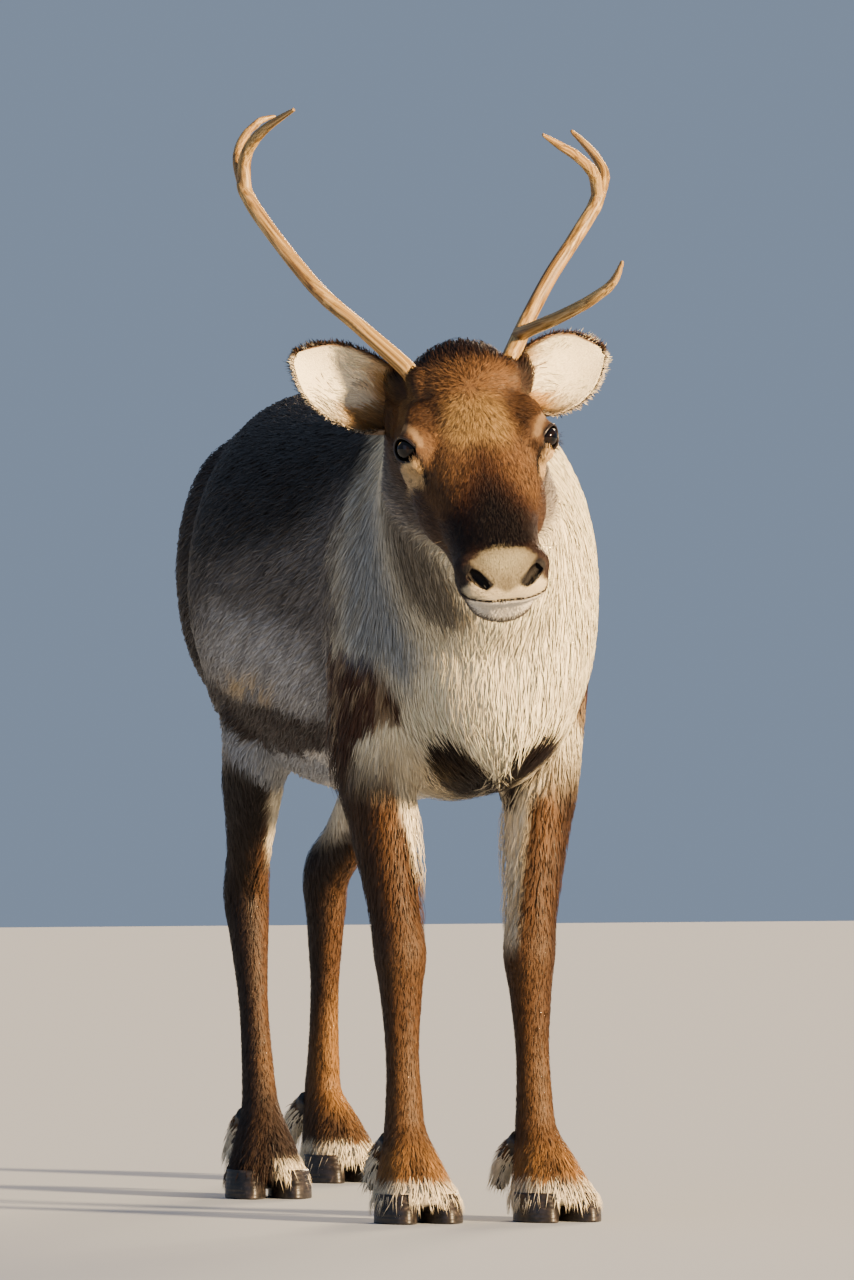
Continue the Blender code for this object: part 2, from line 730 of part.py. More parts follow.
def dewclaw(fetlock, side, heading, name):
    """A small bent claw behind the fetlock, pointing down and out."""
    ahead = Vector((math.sin(heading), -math.cos(heading), 0.0))
    out = Vector((math.cos(heading), math.sin(heading), 0.0)) * side
    start = fetlock - ahead * 0.010 + out * 0.013
    points = [
        start + Vector((0, 0, 0.000)),
        start - ahead * 0.018 + out * 0.004 + Vector((0, 0, -0.016)),
        start - ahead * 0.026 + out * 0.008 + Vector((0, 0, -0.034)),
        start - ahead * 0.025 + out * 0.011 + Vector((0, 0, -0.052)),
    ]
    return tube(name, points, (0.011, 0.0105, 0.0080, 0.0035), around=6, along=4), points


def leg(whole, pair, side_name, beside, finish):
    """One leg as upper leg, cannon and foot, with its two hooves and two dewclaws."""
    side = -1 if side_name == "right" else 1
    joints = FORE_JOINTS[side_name] if pair == "fore" else HIND_JOINTS[side_name]
    planes = fore_planes(side) if pair == "fore" else hind_planes(side)
    knee, fetlock, toe = (Vector(j) for j in joints[2:])
    high = (Vector((0, 0, knee.z - 0.022)), Vector((0, 0, 1)))
    low = (Vector((0, 0, fetlock.z + 0.016)), Vector((0, 0, 1)))
    sole = (Vector((0, 0, HOOF_HEIGHT)), Vector((0, 0, 1)))
    upper = portion(whole, planes + [turned(high)], 0.012, f"{pair}_upper_{side_name}")
    cannon = portion(whole, planes + [high, turned(low)], 0.022, f"{pair}_cannon_{side_name}")
    foot = portion(whole, planes + [low, turned(sole)], 0.020, f"{pair}_foot_{side_name}")
    heading = math.atan2(toe.x - fetlock.x, fetlock.y - toe.y) * 0.6
    made = []
    for spread, label in ((-side, "inner"), (side, "outer")):
        claw, points = dewclaw(Vector((fetlock.x, fetlock.y, fetlock.z - 0.008)), spread, heading,
                               f"{pair}_dewclaw_{label}_{side_name}")
        facing = (points[2] - points[1]).normalized()
        foot, claw = split_stem(foot, claw, points[1] + facing * 0.006, facing, claw.name)
        made.append(claw)
        across = Vector((math.cos(heading), math.sin(heading), 0.0)) * spread
        splay = heading + spread * 0.10
        centre = Vector((toe.x, toe.y - 0.006, 0.0)) + across * 0.0245
        made.append(hoof(centre, splay, spread, f"{pair}_hoof_{label}_{side_name}"))
    foot.name = f"{pair}_foot_{side_name}"
    foot = with_locks(foot, foot_rows(toe), f"{pair}{side}", made)
    if pair == "fore":
        upper = with_locks(upper, fore_rows(side), 11 + side, [cannon, *beside])
    for piece in (upper, cannon, foot):
        finished(piece, finish["leg_coat"])
    for piece in made:
        finished(piece, finish["hoof"])
    return upper


# Antlers, from the skull to each tip, with the stem's thickness as a share of ANTLER_RADIUS
BEAM_RIGHT = ((-0.121, -0.539, 0.855, 1.15), (-0.131, -0.535, 0.870, 1.12), (-0.169, -0.520, 0.906, 1.0),
              (-0.206, -0.500, 0.941, 0.95), (-0.231, -0.485, 0.973, 0.95), (-0.257, -0.468, 1.011, 0.92),
              (-0.274, -0.455, 1.041, 0.90), (-0.279, -0.450, 1.057, 0.86))
FRONT_RIGHT = ((-0.277, -0.452, 1.050, 0.85), (-0.278, -0.453, 1.077, 0.80), (-0.273, -0.465, 1.096, 0.72),
               (-0.263, -0.490, 1.112, 0.60), (-0.246, -0.535, 1.129, 0.28))
REAR_RIGHT = ((-0.277, -0.452, 1.050, 0.80), (-0.279, -0.430, 1.082, 0.72), (-0.267, -0.412, 1.105, 0.58),
              (-0.249, -0.402, 1.120, 0.45), (-0.232, -0.400, 1.125, 0.25))
BEAM_LEFT = ((-0.029, -0.536, 0.868, 1.15), (-0.019, -0.530, 0.884, 1.12), (0.002, -0.510, 0.918, 1.02),
             (0.031, -0.490, 0.962, 0.97), (0.059, -0.475, 0.998, 0.94), (0.082, -0.465, 1.030, 0.92),
             (0.091, -0.460, 1.049, 0.88))
FRONT_LEFT = ((0.089, -0.461, 1.043, 0.82), (0.081, -0.472, 1.067, 0.76), (0.059, -0.490, 1.084, 0.66),
              (0.035, -0.510, 1.095, 0.52), (0.013, -0.530, 1.105, 0.26))
REAR_LEFT = ((0.089, -0.461, 1.043, 0.80), (0.100, -0.443, 1.064, 0.74), (0.097, -0.430, 1.081, 0.62),
             (0.085, -0.422, 1.098, 0.48), (0.071, -0.418, 1.112, 0.25))
BROW_LEFT = ((-0.009, -0.520, 0.903, 0.90), (-0.003, -0.558, 0.910, 0.86), (0.013, -0.600, 0.921, 0.80),
             (0.036, -0.632, 0.937, 0.72), (0.054, -0.652, 0.955, 0.58), (0.062, -0.660, 0.977, 0.26))


def antler_stem(name, rows, along):
    points = [Vector(row[:3]) for row in rows]
    return tube(name, points, [row[3] * ANTLER_RADIUS for row in rows], around=8, along=along)


def antler(head, side_name, beam_rows, tines, finish):
    beam = antler_stem(f"antler_{side_name}_beam", beam_rows, 16)
    beam_name = beam.name
    for label, rows in tines:
        stem = antler_stem("stem", rows, 9)
        facing = (Vector(rows[1][:3]) - Vector(rows[0][:3])).normalized()
        beam, tine = split_stem(beam, stem, Vector(rows[0][:3]) + facing * 0.020, facing,
                                f"antler_{side_name}_{label}")
        finished(tine, finish["antler"])
    facing = (Vector(beam_rows[2][:3]) - Vector(beam_rows[1][:3])).normalized()
    head, beam = split_stem(head, beam, Vector(beam_rows[1][:3]) + facing * 0.010, facing, beam_name)
    finished(beam, finish["antler"])
    return head


def finished(piece, finish):
    """Gives a piece its finish and shows it."""
    piece.data.materials.clear()
    piece.data.materials.append(finish)
    piece.data.shade_smooth()
    piece.data.set_sharp_from_angle(angle=math.radians(40))
    piece.data.name = piece.name
    piece.hide_render = False


def centred(pieces):
    """Moves the animal so that the middle of its box stands over the origin."""
    corners = [v.co for piece in pieces for v in piece.data.vertices]
    middle = [(min(c[i] for c in corners) + max(c[i] for c in corners)) / 2 for i in (0, 1)]
    for mesh in {piece.data for piece in pieces}:
        mesh.transform(Matrix.Translation((-middle[0], -middle[1], 0.0)))


def tail_form():
    points = ((0.0, 0.455, 0.765, 0.026), (0.0, 0.510, 0.768, 0.028), (0.0, 0.541, 0.742, 0.030),
              (0.002, 0.550, 0.695, 0.027), (0.004, 0.546, 0.645, 0.008))
    return tube("tail", [Vector(p[:3]) for p in points], [p[3] for p in points], around=12, along=10)


def main():
    for old in list(bpy.data.objects):
        bpy.data.objects.remove(old)
    finish = finishes()
    whole = flesh()

    head = portion(whole, HEAD_PLANES, 0.028, "head")
    neck = portion(whole, [NECK_TORSO], 0.016, "neck")
    neck = boolean(neck, [block(HEAD_PLANES, GAP / 2)], "DIFFERENCE", "neck")
    torso = portion(whole, [turned(NECK_TORSO)], 0.0085, "torso")
    sides = (("right", -1), ("left", 1))
    for _, side in sides:
        for planes in (fore_planes(side), hind_planes(side)):
            torso = boolean(torso, [block(planes, GAP / 2)], "DIFFERENCE", "torso")
            neck = boolean(neck, [block(planes, GAP / 2)], "DIFFERENCE", "neck")
    fore_uppers = [leg(whole, "fore", side_name, [torso, neck], finish) for side_name, _ in sides]
    for side_name, _ in sides:
        leg(whole, "hind", side_name, [], finish)
    torso, tail = split_stem(torso, tail_form(), Vector((0, 0.522, 0.763)), Vector((0, 0.8, -0.6)), "tail")
    tail = with_locks(tail, tail_rows(), 3, [torso])
    neck = with_locks(neck, mane_rows(), 5, [torso, head, *fore_uppers])
    drop(whole)

    head = dressed_head(head)
    for side_name, side in sides:
        leaf, base, axis = ear(side, f"ear_{side_name}")
        head, leaf = split_stem(head, leaf, base + axis * 0.022, axis, leaf.name, [neck])
        finished(leaf, finish["face_coat"])
        centre = HEAD @ Vector((side * EYE_PLACE.x, EYE_PLACE.y, EYE_PLACE.z))
        finished(ball(f"eye_{side_name}", centre, [EYE_RADIUS] * 3), finish["eye"])
    head = antler(head, "right", BEAM_RIGHT, (("front_tine", FRONT_RIGHT), ("rear_tine", REAR_RIGHT)), finish)
    head = antler(head, "left", BEAM_LEFT, (("brow_tine", BROW_LEFT), ("front_tine", FRONT_LEFT),
                                            ("rear_tine", REAR_LEFT)), finish)
    head = largest(cut_by(head, HEAD_PLANES))
    head.name = "head"
    finished(head, finish["face_coat"])
    finished(largest(neck), finish["pale_coat"])
    finished(largest(torso), finish["back_coat"])
    finished(tail, finish["pale_coat"])
    centred([piece for piece in bpy.data.objects if piece.type == "MESH"])


if __name__ == "__main__":
    main()
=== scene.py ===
"""A young reindeer in its winter coat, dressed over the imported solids.

Shapes are worked out in the frame of the driving sizes below and moved by SHIFT at the end of each
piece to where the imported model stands. -Y is ahead, +X is the animal's left. Lengths are metres.
"""
import functools
import math
import time

import bmesh
import bpy
import numpy as np
from bpy.props import FloatProperty, FloatVectorProperty, IntProperty, PointerProperty
from mathutils import Matrix, Vector
from mathutils.bvhtree import BVHTree
from mathutils.kdtree import KDTree


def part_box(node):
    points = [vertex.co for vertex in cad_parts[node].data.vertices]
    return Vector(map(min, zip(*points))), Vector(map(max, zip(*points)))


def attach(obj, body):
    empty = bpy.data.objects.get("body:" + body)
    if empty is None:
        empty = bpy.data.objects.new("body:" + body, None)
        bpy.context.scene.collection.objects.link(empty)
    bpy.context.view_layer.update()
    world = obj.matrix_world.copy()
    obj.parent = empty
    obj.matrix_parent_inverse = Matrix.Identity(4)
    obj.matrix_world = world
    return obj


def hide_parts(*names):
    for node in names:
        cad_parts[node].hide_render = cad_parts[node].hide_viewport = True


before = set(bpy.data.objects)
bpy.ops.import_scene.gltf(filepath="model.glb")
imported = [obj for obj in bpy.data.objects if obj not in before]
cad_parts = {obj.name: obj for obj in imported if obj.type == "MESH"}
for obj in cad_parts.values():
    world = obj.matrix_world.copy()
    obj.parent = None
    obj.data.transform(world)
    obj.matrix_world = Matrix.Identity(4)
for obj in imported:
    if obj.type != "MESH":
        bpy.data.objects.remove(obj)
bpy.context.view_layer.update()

bl_info = {
    "name": "Reindeer in winter coat",
    "version": (1, 0, 0),
    "blender": (4, 5, 0),
    "location": "3D View > Sidebar > Reindeer",
    "description": "Skin, coat, face, ears, antlers and hooves of a life-size reindeer",
    "category": "Object",
}

# Driving sizes, as in the source of the solids
WITHERS = 0.866
BACK_DIP = 0.018
BELLY = 0.418
CHEST_HALF = 0.138
BELLY_HALF = 0.186
HIP_HALF = 0.160
HEAD_LENGTH = 0.292
HEAD_POLL = Vector((-0.0760, -0.548, 0.885))
HEAD_PITCH = math.radians(48.0)
HEAD_ROLL = math.radians(-5.0)
HEAD_YAW = math.radians(-5.6)
EYE_RADIUS = 0.0145
EYE_PLACE = Vector((0.0670, -0.101, -0.0235))
ANTLER_RADIUS = 0.0081
HOOF_HEIGHT = 0.030
HOOF_LENGTH = 0.076
HOOF_WIDTH = 0.043
MANE_DEPTH = 0.020
CLEAR = 0.0006
SKIN_VOXEL = 0.0071
SOLE = 0.020
EAR_WALL = 0.0036

SIDES = (("right", -1), ("left", 1))
PAIRS = ("fore", "hind")


def head_frame():
    """Head space: nose along -y, forehead up along z, the animal's left along x, poll at the origin."""
    turn = Matrix.Rotation(HEAD_YAW, 4, "Z") @ Matrix.Rotation(HEAD_ROLL, 4, "Y")
    return Matrix.Translation(HEAD_POLL) @ turn @ Matrix.Rotation(HEAD_PITCH, 4, "X")


HEAD = head_frame()
HEAD_TURN = np.array(HEAD.to_3x3())
EYES = {side: HEAD @ Vector((side * EYE_PLACE.x, EYE_PLACE.y, EYE_PLACE.z)) for _, side in SIDES}
PACKED_EYE = [sum(pair) / 2 for pair in zip(*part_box("eye_right"))]
SHIFT = Vector(PACKED_EYE) - EYES[-1]


def head_space(points):
    """Points as (x to the left, s from the poll towards the nose, z up from the face)."""
    local = (points - np.array(HEAD_POLL)) @ HEAD_TURN
    local[:, 1] *= -1.0
    return local


def from_head(x, s, z):
    return HEAD @ Vector((x, -s, z))


def head_way(x, y, z):
    return HEAD_TURN @ np.array((x, y, z))


def step(low, high, value):
    """0 before low, 1 past high, smooth between. With low above high it falls."""
    t = np.clip((value - low) / (high - low), 0.0, 1.0)
    return t * t * (3.0 - 2.0 * t)


def ripple(points, size, seed):
    """Smooth noise, mostly from -1 to 1, that changes over about the given size."""
    draw = np.random.default_rng(seed)
    total = np.zeros(len(points))
    for _ in range(7):
        way = draw.normal(size=3)
        way *= math.tau / size * draw.uniform(0.6, 1.7) / np.linalg.norm(way)
        total += np.sin(points @ way + draw.uniform(0.0, math.tau))
    return total / 3.2


def unit(rows):
    return rows / np.maximum(np.linalg.norm(rows, axis=-1, keepdims=True), 1e-9)


def linear(code):
    """The linear colour of an sRGB hex value."""
    parts = [(code >> shift & 255) / 255 for shift in (16, 8, 0)]
    return tuple(c / 12.92 if c <= 0.04045 else ((c + 0.055) / 1.055) ** 2.4 for c in parts)


# Meshes


def spline(points, t):
    """A smooth curve through rows of numbers, read at t from 0 to 1."""
    last = len(points) - 1
    place = min(max(t, 0.0), 1.0) * last
    i = min(int(place), last - 1)
    f = place - i
    a, b, c, d = (np.array(points[min(max(k, 0), last)], float) for k in (i - 1, i, i + 1, i + 2))
    h = f * f * (3 - 2 * f)
    return b + (c - b) * h + (c - a) / 2 * f * (1 - f) ** 2 - (d - b) / 2 * f * f * (1 - f)


def loft(stations, side=(1.0, 0.0, 0.0), around=24, along=30):
    """Points and faces of a closed body through stations (x, y, z, half, rise, drop, square)."""
    rows = np.array([spline(stations, i / along) for i in range(along + 1)])
    centres = rows[:, :3]
    ahead = unit(centres[np.minimum(np.arange(along + 1) + 1, along)]
                 - centres[np.maximum(np.arange(along + 1) - 1, 0)])
    side = np.array(side)
    across = unit(side - ahead * (ahead @ side)[:, None])
    upward = np.cross(across, ahead)
    turn = math.tau * np.arange(around) / around
    power = 1.0 - 0.5 * rows[:, 6:7]
    c = np.sign(np.cos(turn)) * np.abs(np.cos(turn)) ** power
    s = np.sign(np.sin(turn)) * np.abs(np.sin(turn)) ** power
    height = np.where(s > 0, rows[:, 4:5], rows[:, 5:6])
    points = (centres[:, None] + across[:, None] * (c * rows[:, 3:4])[..., None]
              + upward[:, None] * (s * height)[..., None]).reshape(-1, 3)
    faces = []
    for i in range(along):
        for k in range(around):
            n = (k + 1) % around
            faces.append((i * around + k, i * around + n, (i + 1) * around + n, (i + 1) * around + k))
    poles = len(points)
    for ring, pole in ((0, poles), (along * around, poles + 1)):
        faces += [(ring + k, ring + (k + 1) % around, pole) for k in range(around)]
    return np.vstack((points, centres[0], centres[-1])), faces


def ball(centre, radii, rings=14, around=22):
    """Points and faces of an ellipsoid."""
    polar = math.pi * np.arange(1, rings) / rings
    turn = math.tau * np.arange(around) / around
    shell = np.stack((np.outer(np.sin(polar), np.cos(turn)), np.outer(np.sin(polar), np.sin(turn)),
                      np.outer(np.cos(polar), np.ones(around))), axis=-1).reshape(-1, 3)
    points = np.vstack((shell, (0, 0, 1), (0, 0, -1))) * np.array(radii) + np.array(centre)
    faces = []
    for i in range(rings - 2):
        for k in range(around):
            n = (k + 1) % around
            faces.append((i * around + k, (i + 1) * around + k, (i + 1) * around + n, i * around + n))
    top, low, last = len(points) - 2, len(points) - 1, (rings - 2) * around
    faces += [(k, (k + 1) % around, top) for k in range(around)]
    faces += [(last + k, last + (k + 1) % around, low) for k in range(around)]
    return points, faces


def tube(points, radii, around=12, along=24, side=(0.3, -0.9, 0.3)):
    rows = [(*p, r, r, r, 0.0) for p, r in zip(points, radii)]
    return loft(rows, side=unit(np.array(side)), around=around, along=along)


def to_world(part):
    points, faces = part
    return points @ HEAD_TURN.T + np.array(HEAD_POLL), faces


def plain(name, parts):
    """One object from closed parts, each with its faces outwards."""
    bm = bmesh.new()
    for points, faces in parts:
        corners = [bm.verts.new(p) for p in points]
        for face in faces:
            bm.faces.new([corners[i] for i in face])
    bmesh.ops.recalc_face_normals(bm, faces=bm.faces)
    mesh = bpy.data.meshes.new(name)
    bm.to_mesh(mesh)
    bm.free()
    made = bpy.data.objects.new(name, mesh)
    bpy.context.scene.collection.objects.link(made)
    return made


def drop(*objects):
    for each in objects:
        mesh = each.data
        bpy.data.objects.remove(each)
        bpy.data.meshes.remove(mesh)


def baked(target):
    """The object as its modifiers leave it, under the same name."""
    bpy.context.view_layer.update()
    graph = bpy.context.evaluated_depsgraph_get()
    mesh = bpy.data.meshes.new_from_object(target.evaluated_get(graph))
    name = target.name
    drop(target)
    mesh.name = name
    made = bpy.data.objects.new(name, mesh)
    bpy.context.scene.collection.objects.link(made)
    return made


def cut(target, tools):
    """The target with closed tools cut away. The tools go."""
    group = bpy.data.collections.new("tools")
    for tool in tools:
        group.objects.link(tool)
    cutter = target.modifiers.new("Cut", "BOOLEAN")
    cutter.operation = "DIFFERENCE"
    cutter.solver = "EXACT"
    cutter.operand_type = "COLLECTION"
    cutter.collection = group
    made = baked(target)
    drop(*tools)
    bpy.data.collections.remove(group)
    return made


def melted(name, parts, voxel, rounds, space=None):
    """Closed parts melted into one skin. Where space stretches them, the faces come out finer."""
    forth, back = space if space else (lambda p: p, lambda p: p)
    made = plain(name, [(forth(points), faces) for points, faces in parts])
    remesh = made.modifiers.new("Melt", "REMESH")
    remesh.mode = "VOXEL"
    remesh.voxel_size = voxel
    made = baked(made)
    place(made.data, back(positions(made.data)))
    soften = made.modifiers.new("Soften", "SMOOTH")
    soften.factor = 0.5
    soften.iterations = rounds
    return baked(made)


def positions(mesh):
    flat = np.empty(len(mesh.vertices) * 3)
    mesh.vertices.foreach_get("co", flat)
    return flat.reshape(-1, 3)


def facings(mesh):
    flat = np.empty(len(mesh.vertices) * 3)
    mesh.vertices.foreach_get("normal", flat)
    return flat.reshape(-1, 3)


def place(mesh, points):
    mesh.vertices.foreach_set("co", points.ravel())
    mesh.update()


def tinted(mesh, colours):
    """Keeps a colour at each corner point, for the materials to read as the attribute coat."""
    layer = mesh.color_attributes.new("coat", "FLOAT_COLOR", "POINT")
    layer.data.foreach_set("color", np.column_stack((colours, np.ones(len(colours)))).ravel())


def finished(piece, finish, slot, *nodes):
    """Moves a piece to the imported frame, gives it its finish and ties it to the model."""
    piece.data.transform(Matrix.Translation(SHIFT))
    piece.data.materials.clear()
    piece.data.materials.append(finish)
    piece.data.shade_smooth()
    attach(piece, "root")
    if nodes:
        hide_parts(*nodes)
    return piece


# Flesh, as the source of the solids has it


def torso_stations():
    mid = 0.64
    back = WITHERS - mid
    low = mid - BELLY
    rows = (
        (-0.455, 0.045, back - 0.150, low - 0.090),
        (-0.425, 0.092, back - 0.090, low - 0.046),
        (-0.350, 0.122, back - 0.034, low - 0.022),
        (-0.255, CHEST_HALF, back, low - 0.014),
        (-0.140, 0.150, back - 0.010, low - 0.008),
        (-0.010, 0.174, back - BACK_DIP, low),
        (0.110, BELLY_HALF, back - 0.020, low - 0.004),
        (0.220, 0.182, back - 0.014, low - 0.026),
        (0.320, HIP_HALF, back - 0.010, low - 0.066),
        (0.410, 0.134, back - 0.026, low - 0.110),
        (0.475, 0.100, back - 0.062, low - 0.150),
        (0.515, 0.048, back - 0.115, low - 0.185),
    )
    return [(0.0, y, mid, half, rise, fall, 0.12) for y, half, rise, fall in rows]


def neck_stations():
    return [
        (0.000, -0.190, 0.640, 0.128, 0.190, 0.150, 0.10),
        (-0.006, -0.290, 0.655, 0.126, 0.172, 0.170, 0.10),
        (-0.022, -0.375, 0.690, 0.114 - MANE_DEPTH / 2, 0.142, 0.172 - MANE_DEPTH, 0.10),
        (-0.044, -0.445, 0.736, 0.100 - MANE_DEPTH / 2, 0.112, 0.164 - MANE_DEPTH, 0.05),
        (-0.064, -0.500, 0.782, 0.088 - MANE_DEPTH / 2, 0.090, 0.132 - MANE_DEPTH, 0.00),
        (-0.078, -0.540, 0.818, 0.076, 0.066, 0.098, 0.00),
    ]


JOINTS = {
    "fore_right": ((-0.088, -0.235, 0.665), (-0.098, -0.270, 0.480), (-0.081, -0.312, 0.272),
                   (-0.077, -0.318, 0.090), (-0.073, -0.352, 0.000)),
    "fore_left": ((0.084, -0.235, 0.665), (0.080, -0.270, 0.480), (0.055, -0.312, 0.272),
                  (0.061, -0.318, 0.090), (0.073, -0.352, 0.000)),
    "hind_right": ((-0.084, 0.345, 0.690), (-0.112, 0.182, 0.528), (-0.096, 0.300, 0.318),
                   (-0.097, 0.232, 0.092), (-0.101, 0.186, 0.000)),
    "hind_left": ((0.084, 0.365, 0.690), (0.092, 0.290, 0.512), (0.040, 0.500, 0.330),
                  (0.048, 0.548, 0.094), (0.060, 0.506, 0.000)),
}
# Each row: bone, place along it, half width, front, back, square
PROFILES = {
    "fore": (
        (0, 0.00, 0.050, 0.110, 0.100, 0.1),
        (0, 0.55, 0.052, 0.098, 0.090, 0.1),
        (1, 0.00, 0.045, 0.066, 0.070, 0.1),
        (1, 0.38, 0.036, 0.042, 0.046, 0.0),
        (1, 0.78, 0.0285, 0.031, 0.034, 0.0),
        (2, 0.00, 0.0295, 0.034, 0.031, 0.2),
        (2, 0.18, 0.0250, 0.027, 0.027, 0.1),
        (2, 0.52, 0.0200, 0.019, 0.024, 0.1),
        (2, 0.82, 0.0215, 0.021, 0.027, 0.0),
        (3, 0.00, 0.0245, 0.025, 0.033, 0.0),
        (3, 0.34, 0.0335, 0.033, 0.034, 0.1),
        (3, 0.66, 0.0430, 0.042, 0.036, 0.2),
        (3, 0.95, 0.0480, 0.047, 0.036, 0.2),
    ),
    "hind": (
        (0, 0.00, 0.062, 0.120, 0.118, 0.1),
        (0, 0.55, 0.060, 0.112, 0.116, 0.1),
        (1, 0.00, 0.048, 0.080, 0.086, 0.1),
        (1, 0.42, 0.034, 0.050, 0.058, 0.0),
        (1, 0.80, 0.0245, 0.034, 0.036, 0.0),
        (2, 0.00, 0.0255, 0.032, 0.038, 0.2),
        (2, 0.18, 0.0235, 0.027, 0.031, 0.1),
        (2, 0.52, 0.0180, 0.020, 0.024, 0.1),
        (2, 0.84, 0.0200, 0.022, 0.027, 0.0),
        (3, 0.00, 0.0230, 0.026, 0.032, 0.0),
        (3, 0.34, 0.0320, 0.033, 0.034, 0.1),
        (3, 0.66, 0.0410, 0.042, 0.036, 0.2),
        (3, 0.95, 0.0455, 0.047, 0.036, 0.2),
    ),
}
# Each row: distance from the poll, top, bottom, half width, square
FACE = (
    (-0.040, -0.030, -0.100, 0.044, 0.0),
    (0.000, -0.008, -0.116, 0.063, 0.0),
    (0.035, -0.002, -0.120, 0.073, 0.1),
    (0.070, 0.001, -0.116, 0.077, 0.2),
    (0.108, -0.002, -0.108, 0.073, 0.2),
    (0.142, -0.008, -0.098, 0.062, 0.2),
    (0.180, -0.013, -0.090, 0.052, 0.2),
    (0.217, -0.015, -0.084, 0.0460, 0.3),
    (0.246, -0.016, -0.080, 0.0465, 0.4),
    (0.268, -0.020, -0.072, 0.0460, 0.5),
    (0.283, -0.027, -0.063, 0.0400, 0.5),
    (HEAD_LENGTH, -0.036, -0.052, 0.0220, 0.3),
)
JAW = (
    (0.010, -0.050, -0.130, 0.050, 0.0),
    (0.045, -0.045, -0.150, 0.065, 0.0),
    (0.090, -0.045, -0.150, 0.066, 0.0),
    (0.140, -0.050, -0.136, 0.055, 0.1),
    (0.186, -0.058, -0.116, 0.043, 0.1),
    (0.230, -0.052, -0.106, 0.038, 0.2),
    (0.256, -0.050, -0.101, 0.036, 0.3),
    (0.276, -0.052, -0.096, 0.029, 0.3),
    (0.286, -0.058, -0.090, 0.015, 0.2),
)
# Masses on each side of the head: place, radii
HEAD_MASSES = (
    ((0.054, -0.082, -0.014), (0.019, 0.034, 0.009)),
    ((0.042, -0.130, -0.070), (0.026, 0.062, 0.034)),
    ((0.063, -0.101, -0.028), (0.0170, 0.030, 0.021)),
    ((0.032, -0.255, -0.036), (0.0165, 0.022, 0.0150)),
    ((0.026, -0.267, -0.048), (0.018, 0.018, 0.010)),
    ((0.047, -0.022, -0.015), (0.014, 0.022, 0.014)),
    ((0.060, 0.000, -0.044), (0.017, 0.026, 0.026)),
    (tuple(EYE_PLACE), (EYE_RADIUS + 0.0030,) * 3),
)
TAIL = ((0.0, 0.455, 0.765, 0.026), (0.0, 0.510, 0.768, 0.028), (0.0, 0.541, 0.742, 0.030),
        (0.002, 0.550, 0.695, 0.027), (0.004, 0.546, 0.645, 0.008))
NECK_POINT = np.array((0.0, -0.335, 0.640))
NECK_FACING = unit(np.array((0.0, 0.93, 0.30)))
HEAD_PLANES = (
    (np.array(from_head(0, -0.012, -0.075)), unit(head_way(0, 0.93, -0.36))),
    (np.array((0, -0.470, 0.722)), unit(np.array((0, 0.49, -0.87)))),
)


def leg_stations(name):
    joints = [Vector(j) for j in JOINTS[name]]
    rows = []
    for bone, at, half, front, back, square in PROFILES[name[:4]]:
        rows.append((*joints[bone].lerp(joints[bone + 1], at), half, back, front, square))
    return rows


def flesh_parts():
    parts = [loft(torso_stations(), around=36, along=44), loft(neck_stations(), around=32, along=24)]
    radii = (0.095 - MANE_DEPTH, 0.072 - MANE_DEPTH, 0.118 - MANE_DEPTH)
    parts.append(ball((-0.004, -0.392, 0.565), radii))
    for _, side in SIDES:
        parts.append(ball((0.088 * side, -0.235, 0.640), (0.060, 0.098, 0.150)))
        parts.append(ball((0.084 * side, 0.378, 0.655), (0.072, 0.118, 0.150)))
    parts += [loft(leg_stations(name), along=60) for name in JOINTS]
    for table in (FACE, JAW):
        stations = []
        for s, top, bottom, half, square in table:
            stations.append((0.0, -s, (top + bottom) / 2, half, (top - bottom) / 2, (top - bottom) / 2, square))
        parts.append(to_world(loft(stations, around=36, along=60)))
    for _, side in SIDES:
        parts += [to_world(ball((x * side, y, z), radii)) for (x, y, z), radii in HEAD_MASSES]
    parts.append(to_world(ball((0.0, -0.024, -0.012), (0.050, 0.048, 0.020))))
    parts.append(tube([row[:3] for row in TAIL], [row[3] for row in TAIL], around=20, along=24))
    return parts


def stretched_space():
    """Space pulled out about the head and let go past it, and the way back."""
    middle = np.array((-0.060, -0.640, 0.770))
    reach = np.linspace(0.0, 3.0, 3001)
    pull = 1.0 + 1.25 * (1.0 - step(0.16, 0.28, reach))
    far = np.concatenate(((0.0,), np.cumsum((pull[1:] + pull[:-1]) / 2 * np.diff(reach))))

    def moved(points, source, target):
        away = points - middle
        r = np.maximum(np.linalg.norm(away, axis=1), 1e-9)
        return middle + away * (np.interp(r, source, target) / r)[:, None]

    return lambda p: moved(p, reach, far), lambda p: moved(p, far, reach)


# Where things are on the animal


def head_share(points):
    """1 in the head, 0 in the neck and past it."""
    outside = np.maximum(*((points - point) @ facing for point, facing in HEAD_PLANES))
    return step(0.016, -0.016, outside)


def leg_places(points):
    """For each leg: its share at each point, and the offsets to the outside and to the back."""
    z = points[:, 2]
    places = {}
    for name, joints in JOINTS.items():
        rows = np.array(joints)[::-1]
        side = -1 if name.endswith("right") else 1
        x = np.interp(z, rows[:, 2], rows[:, 0])
        y = np.interp(z, rows[:, 2], rows[:, 1])
        out = (points[:, 0] - x) * side
        back = points[:, 1] - y
        near = step(0.125, 0.100, np.hypot(out, back)) * (points[:, 0] * side > -0.012)
        share = near * step(0.500, 0.415, z)
        places[name] = (share, out, back)
    return places


def paint(colours, tint, share):
    """Lays a tint, a hex value or a linear colour, over the colours."""
    tint = linear(tint) if isinstance(tint, int) else tuple(tint)
    colours += (np.array(tint) - colours) * np.clip(share, 0.0, 1.0)[:, None]


VIEW_TURN = math.radians(-14.0)
VIEW_AWAY = 16.0
VIEW_FOCAL = 15360.0
VIEW_EYE_HEIGHT = 0.80
VIEW_MIDDLE = (403.0, 437.0)


